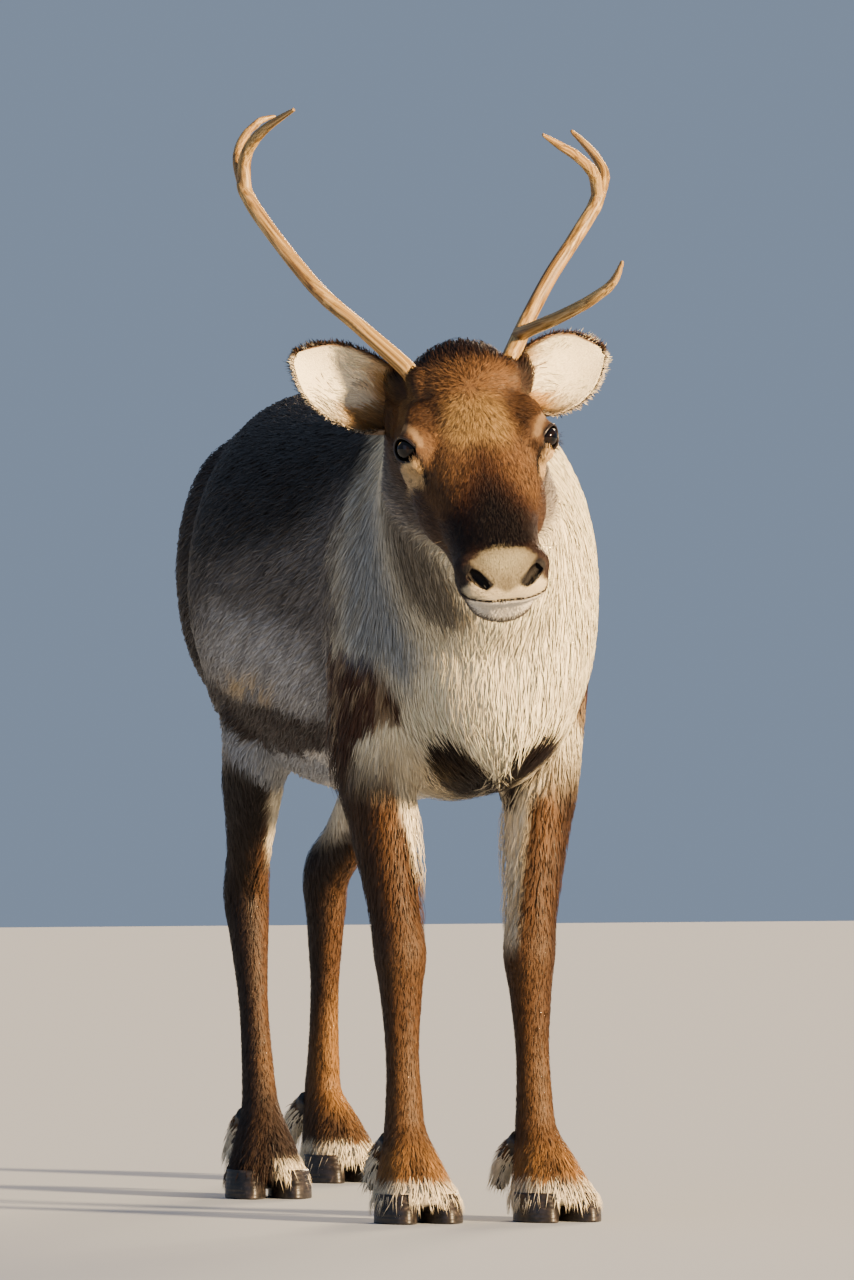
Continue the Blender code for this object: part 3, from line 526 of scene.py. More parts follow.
def in_view(points):
    """Where points stand in the photo's view, 854 wide and 1280 high."""
    ahead = np.array((-math.sin(VIEW_TURN), math.cos(VIEW_TURN), 0.0))
    right = np.array((math.cos(VIEW_TURN), math.sin(VIEW_TURN), 0.0))
    deep = points @ ahead + VIEW_AWAY
    return np.stack((VIEW_MIDDLE[0] + VIEW_FOCAL * (points @ right) / deep,
                     VIEW_MIDDLE[1] - VIEW_FOCAL * (points[:, 2] - VIEW_EYE_HEIGHT) / deep), axis=1)


def within(seen, outline, soft):
    """1 inside an outline in the view, 0 outside, smooth over the soft width."""
    corners = np.array(outline, float)
    inside = np.zeros(len(seen), bool)
    for a, b in zip(corners, np.roll(corners, -1, 0)):
        spans = (a[1] > seen[:, 1]) != (b[1] > seen[:, 1])
        level = (seen[:, 1] - a[1]) / ((b[1] - a[1]) or 1e-9)
        inside ^= spans & (seen[:, 0] < a[0] + level * (b[0] - a[0]))
    gap = line_distance(seen, [*outline, outline[0]])
    return step(-soft, soft, np.where(inside, gap, -gap))


def line_distance(points, line):
    return np.min([segment_distance(points, a, b) for a, b in zip(line, line[1:])], axis=0)


# Markings of the right side as outlines in the view. The left side mirrors them, save the breast, throat and neck
# outlines. Some outlines carry painted shade: the neck's side, the throat and the pale belly.
GREY_FLANK = ((201, 592), (213, 566), (255, 552), (297, 538), (330, 508), (352, 490), (356, 556), (356, 615),
              (362, 656), (326, 664), (321, 732), (297, 722), (268, 710), (236, 700), (207, 684), (197, 645))
PALE_FLANK = ((200, 640), (215, 612), (262, 622), (300, 640), (318, 668), (320, 725), (297, 716), (268, 702),
              (236, 694), (212, 680))
TAN_PATCH = ((220, 690), (228, 678), (246, 674), (266, 684), (270, 702), (250, 706), (230, 700))
FLANK_STRIPE = ((205, 680), (220, 690), (236, 702), (268, 709), (297, 719), (330, 726), (330, 750), (291, 761),
                (262, 753), (233, 733), (211, 712))
SHOULDER = ((318, 672), (326, 656), (347, 653), (371, 660), (386, 684), (402, 712), (398, 724), (372, 730),
            (354, 746), (352, 790), (334, 790), (322, 772), (322, 740), (326, 703))
BREAST_RIGHT = ((424, 762), (434, 744), (450, 738), (465, 752), (476, 767), (486, 784), (493, 801), (496, 818),
                (478, 820), (456, 816), (438, 802), (427, 784))
BREAST_LEFT = ((499, 818), (500, 802), (506, 786), (515, 768), (526, 754), (540, 741), (553, 735), (561, 740),
               (553, 757), (541, 774), (528, 792), (514, 812))
PALE_BELLY_IN_SHADE = ((208, 704), (224, 728), (246, 744), (278, 756), (324, 762), (332, 788), (300, 796), (262, 788),
                (234, 768), (216, 740))
THROAT_GREY_AND_SHADOW = ((382, 474), (396, 480), (406, 502), (420, 532), (438, 554), (448, 580), (458, 604), (474, 616),
               (472, 628), (446, 638), (418, 626), (399, 602), (385, 566), (379, 520))
PAINTED_NECK_SHADE = ((338, 440), (376, 446), (382, 500), (388, 570), (402, 620), (420, 668), (404, 694), (376, 668),
             (344, 656), (332, 600), (334, 500))


def markings_and_painted_light(points, tints):
    """The coat's colour at each point, as linear values, with some painted light and shade laid in."""
    x, y, z = points.T
    side = np.abs(x)
    rough = ripple(points, 0.05, 3) * 0.6 + ripple(points, 0.016, 4) * 0.4
    streaks = ripple(points * (1.0, 0.28, 0.45), 0.012, 5)
    mirrored = points * (-1.0, 1.0, 1.0)
    mirrored[:, 0] = -side
    seen = in_view(mirrored) + np.stack((rough * 5.0 + streaks * 2.0, rough * 5.0), axis=1)
    flank = step(0.37, 0.29, y) * step(0.03, 0.07, side)
    colours = np.tile(np.array(tints.back), (len(points), 1))
    # Painted light: a warm reddish-brown band along the top of the back, where a low sun grazes the spine
    paint(colours, 0x3E2617, step(0.795, 0.850, z + 0.012 * rough) * step(0.6, -0.2, streaks) * 0.75)
    grey = within(seen, GREY_FLANK, 22.0) * flank
    paint(colours, 0x6C6763, grey)
    paint(colours, 0x3E3936, grey * step(0.1, 0.8, streaks) * 0.75)
    pale = within(seen, PALE_FLANK, 26.0) * flank
    paint(colours, tints.flank, pale)
    paint(colours, 0x75716E, pale * step(0.1, 0.9, streaks) * 0.55)
    paint(colours, 0xEDE5D8, step(0.505, 0.470, z + 0.006 * rough))
    paint(colours, 0xCDB388, within(seen, TAN_PATCH, 13.0) * flank * step(0.9, -0.5, streaks) * 0.9)
    paint(colours, 0x2A1A11, within(seen, FLANK_STRIPE, 5.0) * flank)
    paint(colours, 0x231812, step(0.26, 0.34, y + 0.02 * rough) * step(0.44, 0.50, z) * step(0.02, 0.06, side))
    white = step(-0.220, -0.320, y + 0.030 * rough)
    paint(colours, tints.pale, white * step(0.40, 0.44, z))
    paint(colours, 0x5C4A3C, white * step(0.820, 0.865, z + 0.01 * rough) * 0.85)
    patch = within(seen, SHOULDER, 6.0) * step(-0.18, -0.24, y) * step(0.06, 0.08, side)
    paint(colours, 0x452A1B, patch)
    paint(colours, 0x9A8468, patch * step(-0.2, 0.7, streaks + rough) * 0.85)
    breast = in_view(points) + rough[:, None] * 3.0
    # Painted shade: greyish hair of the neck's side darkened to blue-grey, on the right side of the neck only, where
    # the head shades it
    paint(colours, 0x75828F, within(breast, PAINTED_NECK_SHADE, 18.0) * white * step(0.02, -0.03, x) * 0.82)
    # Grey-brown hair of the cheek and throat, darkened with the painted shadow that the head casts on the neck
    paint(colours, 0x463F3B, within(breast, THROAT_GREY_AND_SHADOW, 14.0) * step(-0.40, -0.44, y) * 0.88)
    rump = step(0.455, 0.500, y) * step(0.085, 0.055, side) * step(0.50, 0.56, z)
    paint(colours, 0xE6DECF, rump)
    paint(colours, 0x5A4738, step(0.715, 0.75, z) * step(0.49, 0.51, y))
    for name, (share, out, back) in leg_places(points).items():
        leg_markings_and_painted_light(colours, name, share, out, back, z, rough, tints)
    # Painted shade: the pale belly hair behind the stripe laid on blue-grey, as white hair in shade
    hollow = within(seen, PALE_BELLY_IN_SHADE, 6.0) * step(0.42, 0.36, y) * step(0.02, 0.05, side)
    paint(colours, 0x9A9FA6, hollow * 0.9)
    dark = np.maximum(within(breast, BREAST_RIGHT, 4.0), within(breast, BREAST_LEFT, 4.0))
    paint(colours, 0x1C1009, dark * step(-0.12, -0.16, y) * step(0.56, 0.53, z) * step(0.410, 0.420, z))
    face = head_share(points)
    inside = face > 0.001
    local = head_space(points[inside])
    colours[inside] += (face_markings_and_painted_shade(local, tints) - colours[inside]) * face[inside][:, None]
    return colours


# White on the inside of each leg: the height where it ends below and above, how far in it starts, its slope
INNER_WHITE = {
    "fore_right": (0.330, 0.370, -0.010, 0.14),
    "fore_left": (0.262, 0.305, -0.019, 0.00),
    "hind_right": (0.335, 0.385, -0.008, 0.06),
    "hind_left": (0.350, 0.400, -0.012, 0.06),
}


def leg_markings_and_painted_light(colours, name, share, out, back, z, rough, tints):
    fore = name.startswith("fore")
    paint(colours, tints.leg, share)
    knee = 0.272 if fore else 0.320
    ahead = step(0.008, -0.012, back)
    paint(colours, 0x4C341C, share * step(0.045, 0.015, np.abs(z - knee)) * ahead * 0.7)
    paint(colours, 0x563C20, share * step(0.22, 0.13, z) * ahead * 0.7)
    paint(colours, 0x241911, share * step(-0.014, 0.018, back + 0.004 * rough) * 0.9)
    if fore:
        paint(colours, 0x2E1D12, share * step(0.006, 0.022, out + 0.004 * rough) * step(0.12, 0.20, z) * 0.65)
        paint(colours, 0x7A5632, share * step(0.35, 0.42, z) * step(0.015, -0.005, np.abs(out)) * ahead * 0.6)
    elif name == "hind_right":
        # Painted shade on the right hind leg: the upper part and the outer side near black, as in the shade of the body
        paint(colours, 0x1E1613, share * step(0.34, 0.42, z) * step(-0.02, 0.01, out))
        paint(colours, 0x221A16, share * step(-0.012, 0.008, out + 0.004 * rough) * 0.85)
    else:
        # Painted light and shade on the left hind leg: golden brown low on its outer side, as lit by the sun, and near
        # black on its inner side, as in shade
        paint(colours, 0x8A6230, share * step(0.23, 0.16, z) * step(-0.008, 0.006, out) * 0.7)
        paint(colours, 0x1A1210, share * step(0.004, -0.010, out + 0.003 * rough) * step(0.13, 0.22, z) * 0.85)
        paint(colours, 0xC9C0B2, share * step(0.36, 0.40, z) * step(0.0, -0.02, back) * 0.8)
    low, high, start, slope = INNER_WHITE[name]
    limit = start - slope * (0.43 - z)
    inner = step(limit + 0.005, limit - 0.005, out + 0.003 * rough) * step(low, high, z)
    paint(colours, 0xF6E8C8, share * inner)
    if fore:
        top = step(0.428, 0.452, z + 0.03 * out + 0.006 * rough)
        paint(colours, 0xF6E8C8, share * top * step(0.003, -0.012, out + 0.004 * rough))
    # Golden brown on the fore feet; on the hind feet dark brown, painted shade
    paint(colours, 0x9A7040 if fore else 0x3A2C22, share * step(0.085, 0.060, z) * 0.6)
    paint(colours, 0x241811, share * step(0.075, 0.058, z) * step(0.012, 0.004, np.abs(out)) * 0.6)
    fringe = step(0.044, 0.030, z + 0.006 * rough)
    if name == "hind_right":
        # Painted shade: the right hind foot darkened, with the pale fringe only on its inner side
        paint(colours, 0x211B19, share * step(0.13, 0.09, z) * step(0.010, -0.004, out) * 0.75)
        fringe *= step(0.004, -0.012, out + 0.004 * rough)
    paint(colours, 0xE9DBBD, share * fringe)


# Markings of the right half of the face in the view. The left half mirrors them.
FOREHEAD = ((398, 400), (412, 370), (438, 354), (600, 352), (600, 470), (505, 470), (470, 484), (455, 505),
            (440, 524), (424, 500), (424, 470), (420, 450), (408, 430), (398, 415))
CROWN = ((432, 388), (450, 364), (600, 362), (600, 428), (482, 430), (458, 428), (440, 412))
ABOVE_EYE = ((403, 404), (415, 393), (434, 394), (444, 408), (441, 426), (428, 434), (416, 426), (406, 416))
TEMPLE = ((386, 366), (412, 360), (417, 384), (409, 402), (390, 408))
NOSE_BROWN = ((474, 446), (600, 438), (600, 548), (444, 548), (432, 536), (446, 512), (462, 482))
NOSE_DARK = ((484, 476), (600, 468), (600, 549), (500, 549), (471, 551), (454, 548), (442, 536), (452, 522),
             (464, 504), (474, 488))
NOSE_BLACK = ((488, 494), (600, 488), (600, 550), (482, 550), (464, 546), (470, 520))
MUZZLE_SIDE = ((450, 546), (474, 551), (472, 572), (466, 588), (471, 602), (455, 602), (443, 582), (443, 560))
NOSE_PAD = ((472, 561), (482, 553), (496, 548), (510, 546), (600, 544), (600, 599), (475, 599), (464, 590),
            (471, 581), (475, 572))
UPPER_LIP = ((463, 589), (476, 582), (494, 588), (505, 592), (600, 592), (600, 600), (470, 600))
LOWER_LIP = ((467, 600), (600, 600), (600, 619), (490, 619), (474, 612))
BELOW_EYE = ((412, 458), (420, 466), (423, 482), (413, 490), (404, 502), (396, 486), (393, 471), (400, 462))
LID_LINE = ((387, 438), (393, 429), (405, 427), (414, 433), (421, 444))
TEAR_LINE = ((414, 452), (421, 459), (425, 469), (425, 482))
CHIN_LINE = ((462, 600), (468, 608), (478, 616), (492, 621), (512, 621), (530, 620))
GOLDEN = ((442, 408), (458, 398), (482, 402), (600, 410), (600, 432), (498, 438), (474, 448), (452, 446), (442, 430))


def face_markings_and_painted_shade(local, tints):
    x, s, z = local.T
    side = np.abs(x)
    rough = ripple(local, 0.022, 6) * 0.6 + ripple(local, 0.007, 7) * 0.4
    halved = np.stack((-side, -s, z), axis=1) @ HEAD_TURN.T + np.array(HEAD_POLL)
    seen = in_view(halved) + np.stack((rough * 1.6, rough * 1.6), axis=1)
    clean = in_view(halved)
    front = step(-0.060, -0.040, z) * step(0.075, 0.068, side)
    colours = np.tile(np.array(linear(0x493424)), (len(local), 1))
    paint(colours, 0x5C534C, step(-0.085, -0.120, z + 0.01 * rough) * step(0.20, 0.10, s) * 0.85)
    paint(colours, 0x8C8379, step(-0.125, -0.155, z + 0.01 * rough))
    paint(colours, tints.brow, within(seen, FOREHEAD, 9.0) * front)
    paint(colours, 0x664828, within(seen, CROWN, 16.0) * front * 0.8)
    paint(colours, 0x9E8050, within(seen, GOLDEN, 12.0) * front * 0.75)
    flecks = ripple(local * (1.0, 0.45, 1.0), 0.0042, 9)
    paint(colours, 0x23150D, step(0.1, 1.0, flecks + 0.5 * rough) * within(seen, FOREHEAD, 9.0) * front * 0.6)
    paint(colours, 0x2A1A11, within(seen, ABOVE_EYE, 8.0) * front * 0.65)
    paint(colours, 0x2A1C14, within(seen, TEMPLE, 7.0) * 0.85)
    paint(colours, 0x3A2314, within(seen, NOSE_BROWN, 14.0) * front * 0.92)
    paint(colours, 0x1C0E07, within(seen, NOSE_DARK, 11.0) * front)
    paint(colours, 0x0D0604, within(seen, NOSE_BLACK, 10.0) * front)
    paint(colours, 0x2B1D15, within(seen, MUZZLE_SIDE, 5.0) * step(0.20, 0.22, s))
    near_nose = step(0.222, 0.232, s)
    pad = within(seen, NOSE_PAD, 4.5) * near_nose
    paint(colours, 0x9F9678, pad)
    paint(colours, 0x6E634D, pad * step(0.024, 0.008, nostril_distance(local)) * 0.75)
    paint(colours, 0x5E533F, pad * step(0.009, 0.003, side) * step(0.268, 0.284, s) * 0.7)
    paint(colours, 0x6B604A, pad * step(0.262, 0.244, s) * 0.65)
    paint(colours, 0xD8C8A4, within(clean, UPPER_LIP, 2.5) * near_nose)
    paint(colours, 0xF3E9D6, within(clean, LOWER_LIP, 2.5) * step(0.20, 0.215, s))
    paint(colours, 0x2E2620, step(6.0, 2.5, line_distance(seen, CHIN_LINE)) * step(0.19, 0.21, s) * 0.85)
    away = np.stack((side, -s, z), axis=1) - np.array(EYE_PLACE)
    eye = np.linalg.norm(away, axis=1)
    look, along, over = eye_axes(1)
    outer = step(0.04, 0.05, side)
    paint(colours, 0xAE916C, step(4.5, 2.0, line_distance(clean, LID_LINE)) * outer * step(0.034, 0.026, eye) * 0.55)
    outer *= step(0.088, 0.096, s)
    streaks = ripple(local * (1.0, 0.22, 0.3), 0.0035, 8)
    below = within(seen, BELOW_EYE, 6.0) * outer
    paint(colours, 0xE2BE88, below * 0.95)
    paint(colours, 0x5A3E28, below * step(0.3, 0.9, streaks) * 0.5)
    paint(colours, 0x1E130D, step(2.6, 1.2, line_distance(clean, TEAR_LINE)) * outer)
    rim = np.hypot(away @ along / 0.0150, away @ over / 0.0118)
    paint(colours, 0x8A7056, step(0.0200, 0.0185, eye) * step(-0.006, 0.002, away @ over) * 0.6)
    paint(colours, 0x1A120E, step(1.24, 1.12, rim) * step(0.0195, 0.0185, eye))
    paint(colours, 0x281A12, step(0.020, -0.004, s + 0.006 * rough) * step(-0.060, -0.030, z))
    # Painted shade: the pits of the nostrils near black
    paint(colours, 0x0E0806, step(0.0080, 0.0058, nostril_distance(local)))
    paint(colours, 0x1E1510, step(0.0020, 0.0012, mouth_gap(local)))
    return colours


NOSTRIL_POINTS = ((0.0185, 0.281, -0.0335), (0.0240, 0.279, -0.0305), (0.0305, 0.273, -0.0275),
                  (0.0360, 0.267, -0.0262))
NOSTRIL_LINE = tuple(zip(NOSTRIL_POINTS, NOSTRIL_POINTS[1:]))


def segment_distance(points, start, end):
    start, end = np.array(start), np.array(end)
    along = end - start
    t = np.clip((points - start) @ along / (along @ along), 0.0, 1.0)
    return np.linalg.norm(points - start - t[:, None] * along, axis=1)


def coat_depth(points):
    """How far the skin lies under the solids' surface."""
    depth = np.full(len(points), 0.0075)
    x, y, z = points.T
    depth += (0.004 - depth) * step(-0.30, -0.36, y)
    for share, _, _ in leg_places(points).values():
        depth += (0.0026 - depth) * share
    face = head_share(points)
    local = head_space(points)
    eye = np.hypot(np.hypot(np.abs(local[:, 0]) - EYE_PLACE.x, local[:, 1] + EYE_PLACE.y), local[:, 2] - EYE_PLACE.z)
    bare = np.maximum(step(0.030, 0.020, eye), step(0.235, 0.255, local[:, 1]))
    return depth + (0.0018 * (1.0 - bare) - depth) * face


def coat_lie(points):
    """The way the hair lies, and the length, width, stand and hug to the skin of its tufts."""
    x, y, z = points.T
    n = len(points)
    lie = np.tile((0.0, 0.92, -0.40), (n, 1))
    form = np.tile((0.030, 0.0020, 0.09, 1.0), (n, 1))

    def lay(share, way, *shape):
        nonlocal lie
        share = np.clip(share, 0.0, 1.0)[:, None]
        lie = lie + (np.broadcast_to(np.array(way, float), (n, 3)) - lie) * share
        form[:] += (np.array(shape) - form) * share

    lay(step(0.78, 0.86, z), (0.0, 1.0, -0.08), 0.028, 0.0021, 0.10, 1.0)
    lay(step(0.485, 0.440, z), (0.0, 0.90, -0.45), 0.036, 0.0022, 0.13, 0.8)
    lay(step(-0.20, -0.32, y), (0.0, 0.42, -0.90), 0.034, 0.0016, 0.055, 1.0)
    throat = step(-0.33, -0.39, y) * step(0.83, 0.76, z) * step(0.135, 0.09, np.abs(x + 0.02))
    lay(throat, (0.0, 0.12, -1.0), 0.042, 0.0015, 0.045, 1.0)
    point = throat * step(0.56, 0.50, z) * step(0.40, 0.43, z)
    to_point = np.stack(((BREAST_POINT[0] - x) * 9.0, np.full(n, 0.15), np.full(n, -1.0)), axis=1)
    lay(point, to_point, 0.038, 0.0015, 0.09, 0.9)
    lay(point * step(0.030, 0.012, np.abs(x - BREAST_POINT[0])), to_point, 0.050, 0.0016, 0.13, 0.5)
    elbow = step(-0.29, -0.24, y) * step(-0.15, -0.20, y) * step(0.56, 0.50, z) * step(0.08, 0.10, np.abs(x))
    lay(elbow, (0.0, 0.40, -0.9), 0.050, 0.0020, 0.26, 0.4)
    lay(step(0.47, 0.50, y) * step(0.62, 0.66, z), (0.0, 0.25, -1.0), 0.048, 0.0022, 0.20, 0.4)
    for name, (share, out, back) in leg_places(points).items():
        side = -1 if name.endswith("right") else 1
        lay(share, (0.0, 0.12, -1.0), 0.020, 0.0014, 0.10, 1.0)
        lay(share * step(0.34, 0.28, z), (0.0, 0.08, -1.0), 0.0120, 0.0010, 0.08, 1.0)
        if name.startswith("fore"):
            inner = share * step(-0.008, -0.020, out) * step(0.30, 0.35, z)
            lay(inner, (-0.16 * side, 0.0, -1.0), 0.040, 0.0015, 0.22, 0.4)
        lay(share * step(0.100, 0.070, z), (0.0, 0.0, -1.0), 0.018, 0.0012, 0.11, 0.9)
        lay(share * step(0.056, 0.042, z), (0.0, -0.06, -1.0), 0.033, 0.0013, 0.16, 0.3)
    face = head_share(points)
    near = face > 0.001
    if near.any():
        way, face_form = face_lie(head_space(points[near]))
        share = face[near][:, None]
        lie[near] += (way - lie[near]) * share
        form[near] += (face_form - form[near]) * share
    return (unit(lie), *form.T.copy())


BREAST_POINT = (0.004, -0.400, 0.425)


def face_lie(local):
    """Hair runs out from the whorl on the forehead, back and down on the cheeks, up on the nose."""
    x, s, z = local.T
    side = np.abs(x)
    way = unit(np.stack((x * 1.2, -(s - 0.049), np.zeros(len(x))), axis=1))
    form = np.tile((0.0090, 0.00085, 0.14, 1.0), (len(x), 1))

    def lay(share, to, *shape):
        nonlocal way
        share = np.clip(share, 0.0, 1.0)[:, None]
        way = way + (np.broadcast_to(np.array(to, float), way.shape) - way) * share
        form[:] += (np.array(shape) - form) * share

    lay(step(-0.028, -0.060, z), (0.0, 0.85, -0.45), 0.012, 0.0010, 0.12, 1.0)
    lay(step(-0.085, -0.125, z), (0.0, 0.80, -0.60), 0.022, 0.0014, 0.12, 0.9)
    lay(step(0.16, 0.22, s) * step(0.030, 0.040, side), (0.0, 1.0, -0.25), 0.0070, 0.0010, 0.12, 1.0)
    lay(step(0.030, 0.000, s) * step(-0.07, -0.03, z), (0.0, 1.0, 0.30), 0.019, 0.0014, 0.28, 0.6)
    outward = np.stack((x * 14.0, np.full(len(x), 0.9), np.full(len(x), 0.3)), axis=1)
    lay(step(0.236, 0.252, s), outward, 0.0042, 0.0009, 0.12, 1.0)
    lay(step(-0.036, -0.046, z) * step(0.22, 0.25, s), (0.0, 0.75, -0.55), 0.0060, 0.0009, 0.15, 1.0)
    from_eye = np.stack((side - EYE_PLACE.x, -(s + EYE_PLACE.y), z - EYE_PLACE.z), axis=1)
    away = np.linalg.norm(from_eye, axis=1)
    from_eye = unit(from_eye) * np.stack((np.sign(x), np.ones(len(x)), np.ones(len(x))), axis=1)
    lay(step(0.034, 0.023, away) * 0.9, from_eye + (0, -0.35, -0.1), 0.0065, 0.0009, 0.12, 1.0)
    return unit(way) @ HEAD_TURN.T, form


# Coat


def scattered(points, triangles, density, draw):
    """Seeded places on triangles, as corner numbers and weights, with a density at each point."""
    a, b, c = (points[triangles[:, k]] for k in range(3))
    area = np.linalg.norm(np.cross(b - a, c - a), axis=1) / 2
    mass = area * density[triangles].mean(axis=1)
    ends = np.cumsum(mass)
    count = int(ends[-1])
    picks = np.searchsorted(ends, (np.arange(count) + draw.random(count)) * ends[-1] / count)
    picks = np.minimum(picks, len(triangles) - 1)
    u, v = draw.random(count), draw.random(count)
    over = u + v > 1.0
    u[over], v[over] = 1.0 - u[over], 1.0 - v[over]
    return triangles[picks], np.stack((1.0 - u - v, u, v), axis=1)


def blended(values, corners, weights):
    return np.einsum("ij...,ij->i...", values[corners], weights)


@functools.lru_cache(maxsize=1)
def skin_tree():
    points = ground()[0]
    tree = KDTree(len(points))
    for k, point in enumerate(points):
        tree.insert(point, k)
    tree.balance()
    return tree


def settled(points, lift, hug):
    """Points laid at a height over the skin, as far as they hug it, and the skin's facing there."""
    skin, out, _, _ = ground()
    tree = skin_tree()
    nearest = np.array([tree.find(point)[1] for point in points])
    high = ((points - skin[nearest]) * out[nearest]).sum(axis=1)
    return points + out[nearest] * ((lift - high) * hug)[:, None], out[nearest]


def tufts(name, roots, out, shape, colours, charts, bends, draw):
    """One mesh of closed flat tufts. Each has a flattened three-sided section and bends to a point."""
    lie, length, width, stand, hug = shape
    n = len(roots)
    lie = lie + draw.normal(scale=0.10, size=(n, 3))
    lie = unit(lie - out * (lie * out).sum(axis=1, keepdims=True))
    across = np.cross(lie, out)
    length = length * draw.uniform(0.75, 1.20, n)
    length = np.minimum(length, (roots[:, 2] - 0.003) / np.maximum(-lie[:, 2], 0.2))
    rise = length * stand * draw.uniform(0.6, 1.4, n)
    drift = (length * draw.normal(scale=0.07, size=n))[:, None]
    reach = length[:, None]
    levels = np.linspace(0.0, 1.0, bends + 1)
    per = bends * 3 + 1
    points = np.empty((n, per, 3))
    shades = np.empty((n, per, 3))
    falls = np.empty((n, per, 3))
    strands = np.empty((n, per, 3))
    pale = np.clip(colours.mean(axis=1) / 0.5, 0.0, 1.0)[:, None]
    tone = np.exp(draw.normal(size=(n, 1)) * (0.27 - 0.23 * pale))
    own = draw.random(n)
    lean = draw.normal(size=(n, 3)) * (0.15 - 0.10 * pale)
    # Painted shade: each tuft darkest at its root and a little lighter at its tip, standing in for the shade down among
    # the tufts
    deep = 0.76 + 0.16 * pale
    facing = out
    for j, t in enumerate(levels):
        lift = rise * (math.sin(min(t * 1.5, 1.0) * math.pi / 2) - 0.35 * t * t) - 0.0012 * (1 - t)
        centre = roots + lie * reach * t + across * drift * t * t
        if j and hug.max() > 0.01:
            centre, facing = settled(centre + out * (lift * (1.0 - hug))[:, None], lift, hug)
        else:
            centre = centre + out * lift[:, None]
        light = colours * tone * (deep + (1.08 - deep) * t ** 0.7)
        fall = out + (facing - out) * hug[:, None] + lean
        if j == bends:
            points[:, -1] = centre
            shades[:, -1] = light
            falls[:, -1] = fall
            strands[:, -1] = np.stack((np.zeros(n), length * 0.06, own), axis=1)
            continue
        wide = (width * (0.85 if j == 0 else 1.0 - 0.35 * t) / 2)[:, None]
        for k, (aside, up) in enumerate(((1.0, 0.0), (-1.0, 0.0), (0.0, 0.5))):
            points[:, j * 3 + k] = centre + across * wide * aside + facing * wide * up
            shades[:, j * 3 + k] = light
            falls[:, j * 3 + k] = fall + across * aside * (0.34 - 0.22 * pale)
            strands[:, j * 3 + k] = np.stack((wide[:, 0] * aside, length * t * 0.06, own), axis=1)
    faces = [(1, 0, 2)]
    for j in range(bends - 1):
        for k in range(3):
            m = (k + 1) % 3
            faces.append((j * 3 + k, j * 3 + m, j * 3 + 3 + m, j * 3 + 3 + k))
    last = bends * 3 - 3
    faces += [(last + k, last + (k + 1) % 3, bends * 3) for k in range(3)]
    corners = np.array([i for face in faces for i in face])
    sizes = np.array([len(face) for face in faces])
    mesh = bpy.data.meshes.new(name)
    mesh.vertices.add(n * per)
    mesh.vertices.foreach_set("co", points.ravel())
    mesh.loops.add(n * len(corners))
    mesh.loops.foreach_set("vertex_index", (np.arange(n)[:, None] * per + corners).ravel())
    mesh.polygons.add(n * len(faces))
    starts = np.concatenate(((0,), np.cumsum(np.tile(sizes, n))[:-1]))
    mesh.polygons.foreach_set("loop_start", starts)
    mesh.update(calc_edges=True)
    tinted(mesh, np.clip(shades.reshape(-1, 3), 0.0, 1.0))
    noted(mesh, "fall", unit(falls))
    noted(mesh, "strand", strands)
    side = np.array((0.5, -0.5, 0.0) * bends + (0.0,))
    up = np.append(np.repeat(levels[:-1], 3), 1.0) - 0.5
    patch = np.stack((side, up), axis=1)[corners] * TUFT_PATCH
    layer = mesh.uv_layers.new(name="OFBake")
    layer.uv.foreach_set("vector", (charts[:, None] + patch[None]).ravel())
    made = bpy.data.objects.new(name, mesh)
    bpy.context.scene.collection.objects.link(made)
    return made


def noted(mesh, name, rows):
    """Keeps a vector at each point, for the materials to read."""
    layer = mesh.attributes.new(name, "FLOAT_VECTOR", "POINT")
    layer.data.foreach_set("vector", rows.ravel())


TUFT_PATCH = 0.003
MOST_TUFTS = 18500


def body_chart(points):
    """The skin unrolled: body and tail in the upper half, head and legs in boxes of the lower half."""
    x, y, z = points.T
    turn = np.arctan2(x, z - 0.62) / math.tau + 0.5
    chart = np.stack((0.02 + 0.96 * turn, 0.52 + 0.46 * np.clip((y + 0.62) / 1.25, 0, 1)), axis=1)
    for k, (share, out, back) in enumerate(leg_places(points).values()):
        own = share > 0.5
        angle = np.arctan2(out, back) / math.tau + 0.5
        box = np.stack((0.52 + 0.12 * k + 0.10 * angle, 0.02 + 0.90 * np.clip(z, 0, 0.5)), axis=1)
        chart[own] = box[own]
    face = head_share(points) > 0.5
    local = head_space(points)
    angle = np.arctan2(local[:, 0], local[:, 2] + 0.06) / math.tau + 0.5
    box = np.stack((0.02 + 0.46 * angle, 0.03 + 0.44 * np.clip((local[:, 1] + 0.05) / 0.36, 0, 1)), axis=1)
    chart[face] = box[face]
    return chart


def coat_pieces(name, roots, out, charts, finish, slot, draw, tints, long=0.037):
    """Tufts at the roots, in pieces of a size that the export keeps whole."""
    shape = coat_lie(roots)
    length = shape[1]
    # A tuft covers the ground below its root, so it takes the colour of the place under its middle
    colours = markings_and_painted_light(roots + shape[0] * (length * 0.55)[:, None], tints)
    pieces = []
    for label, chosen, bends in (("short", length < long, 2), ("long", length >= long, 3)):
        order = np.flatnonzero(chosen)
        most = MOST_TUFTS if bends == 2 else 11500
        order = order[np.argsort(roots[order, 1], kind="stable")]
        for k in range(0, len(order), most):
            own = order[k:k + most]
            piece = tufts(f"{name}_{label}_{k // most + 1}", roots[own], out[own], [part[own] for part in shape],
                          colours[own], charts[own], bends, draw)
            pieces.append(finished(piece, finish, slot))
    return pieces


# Skin


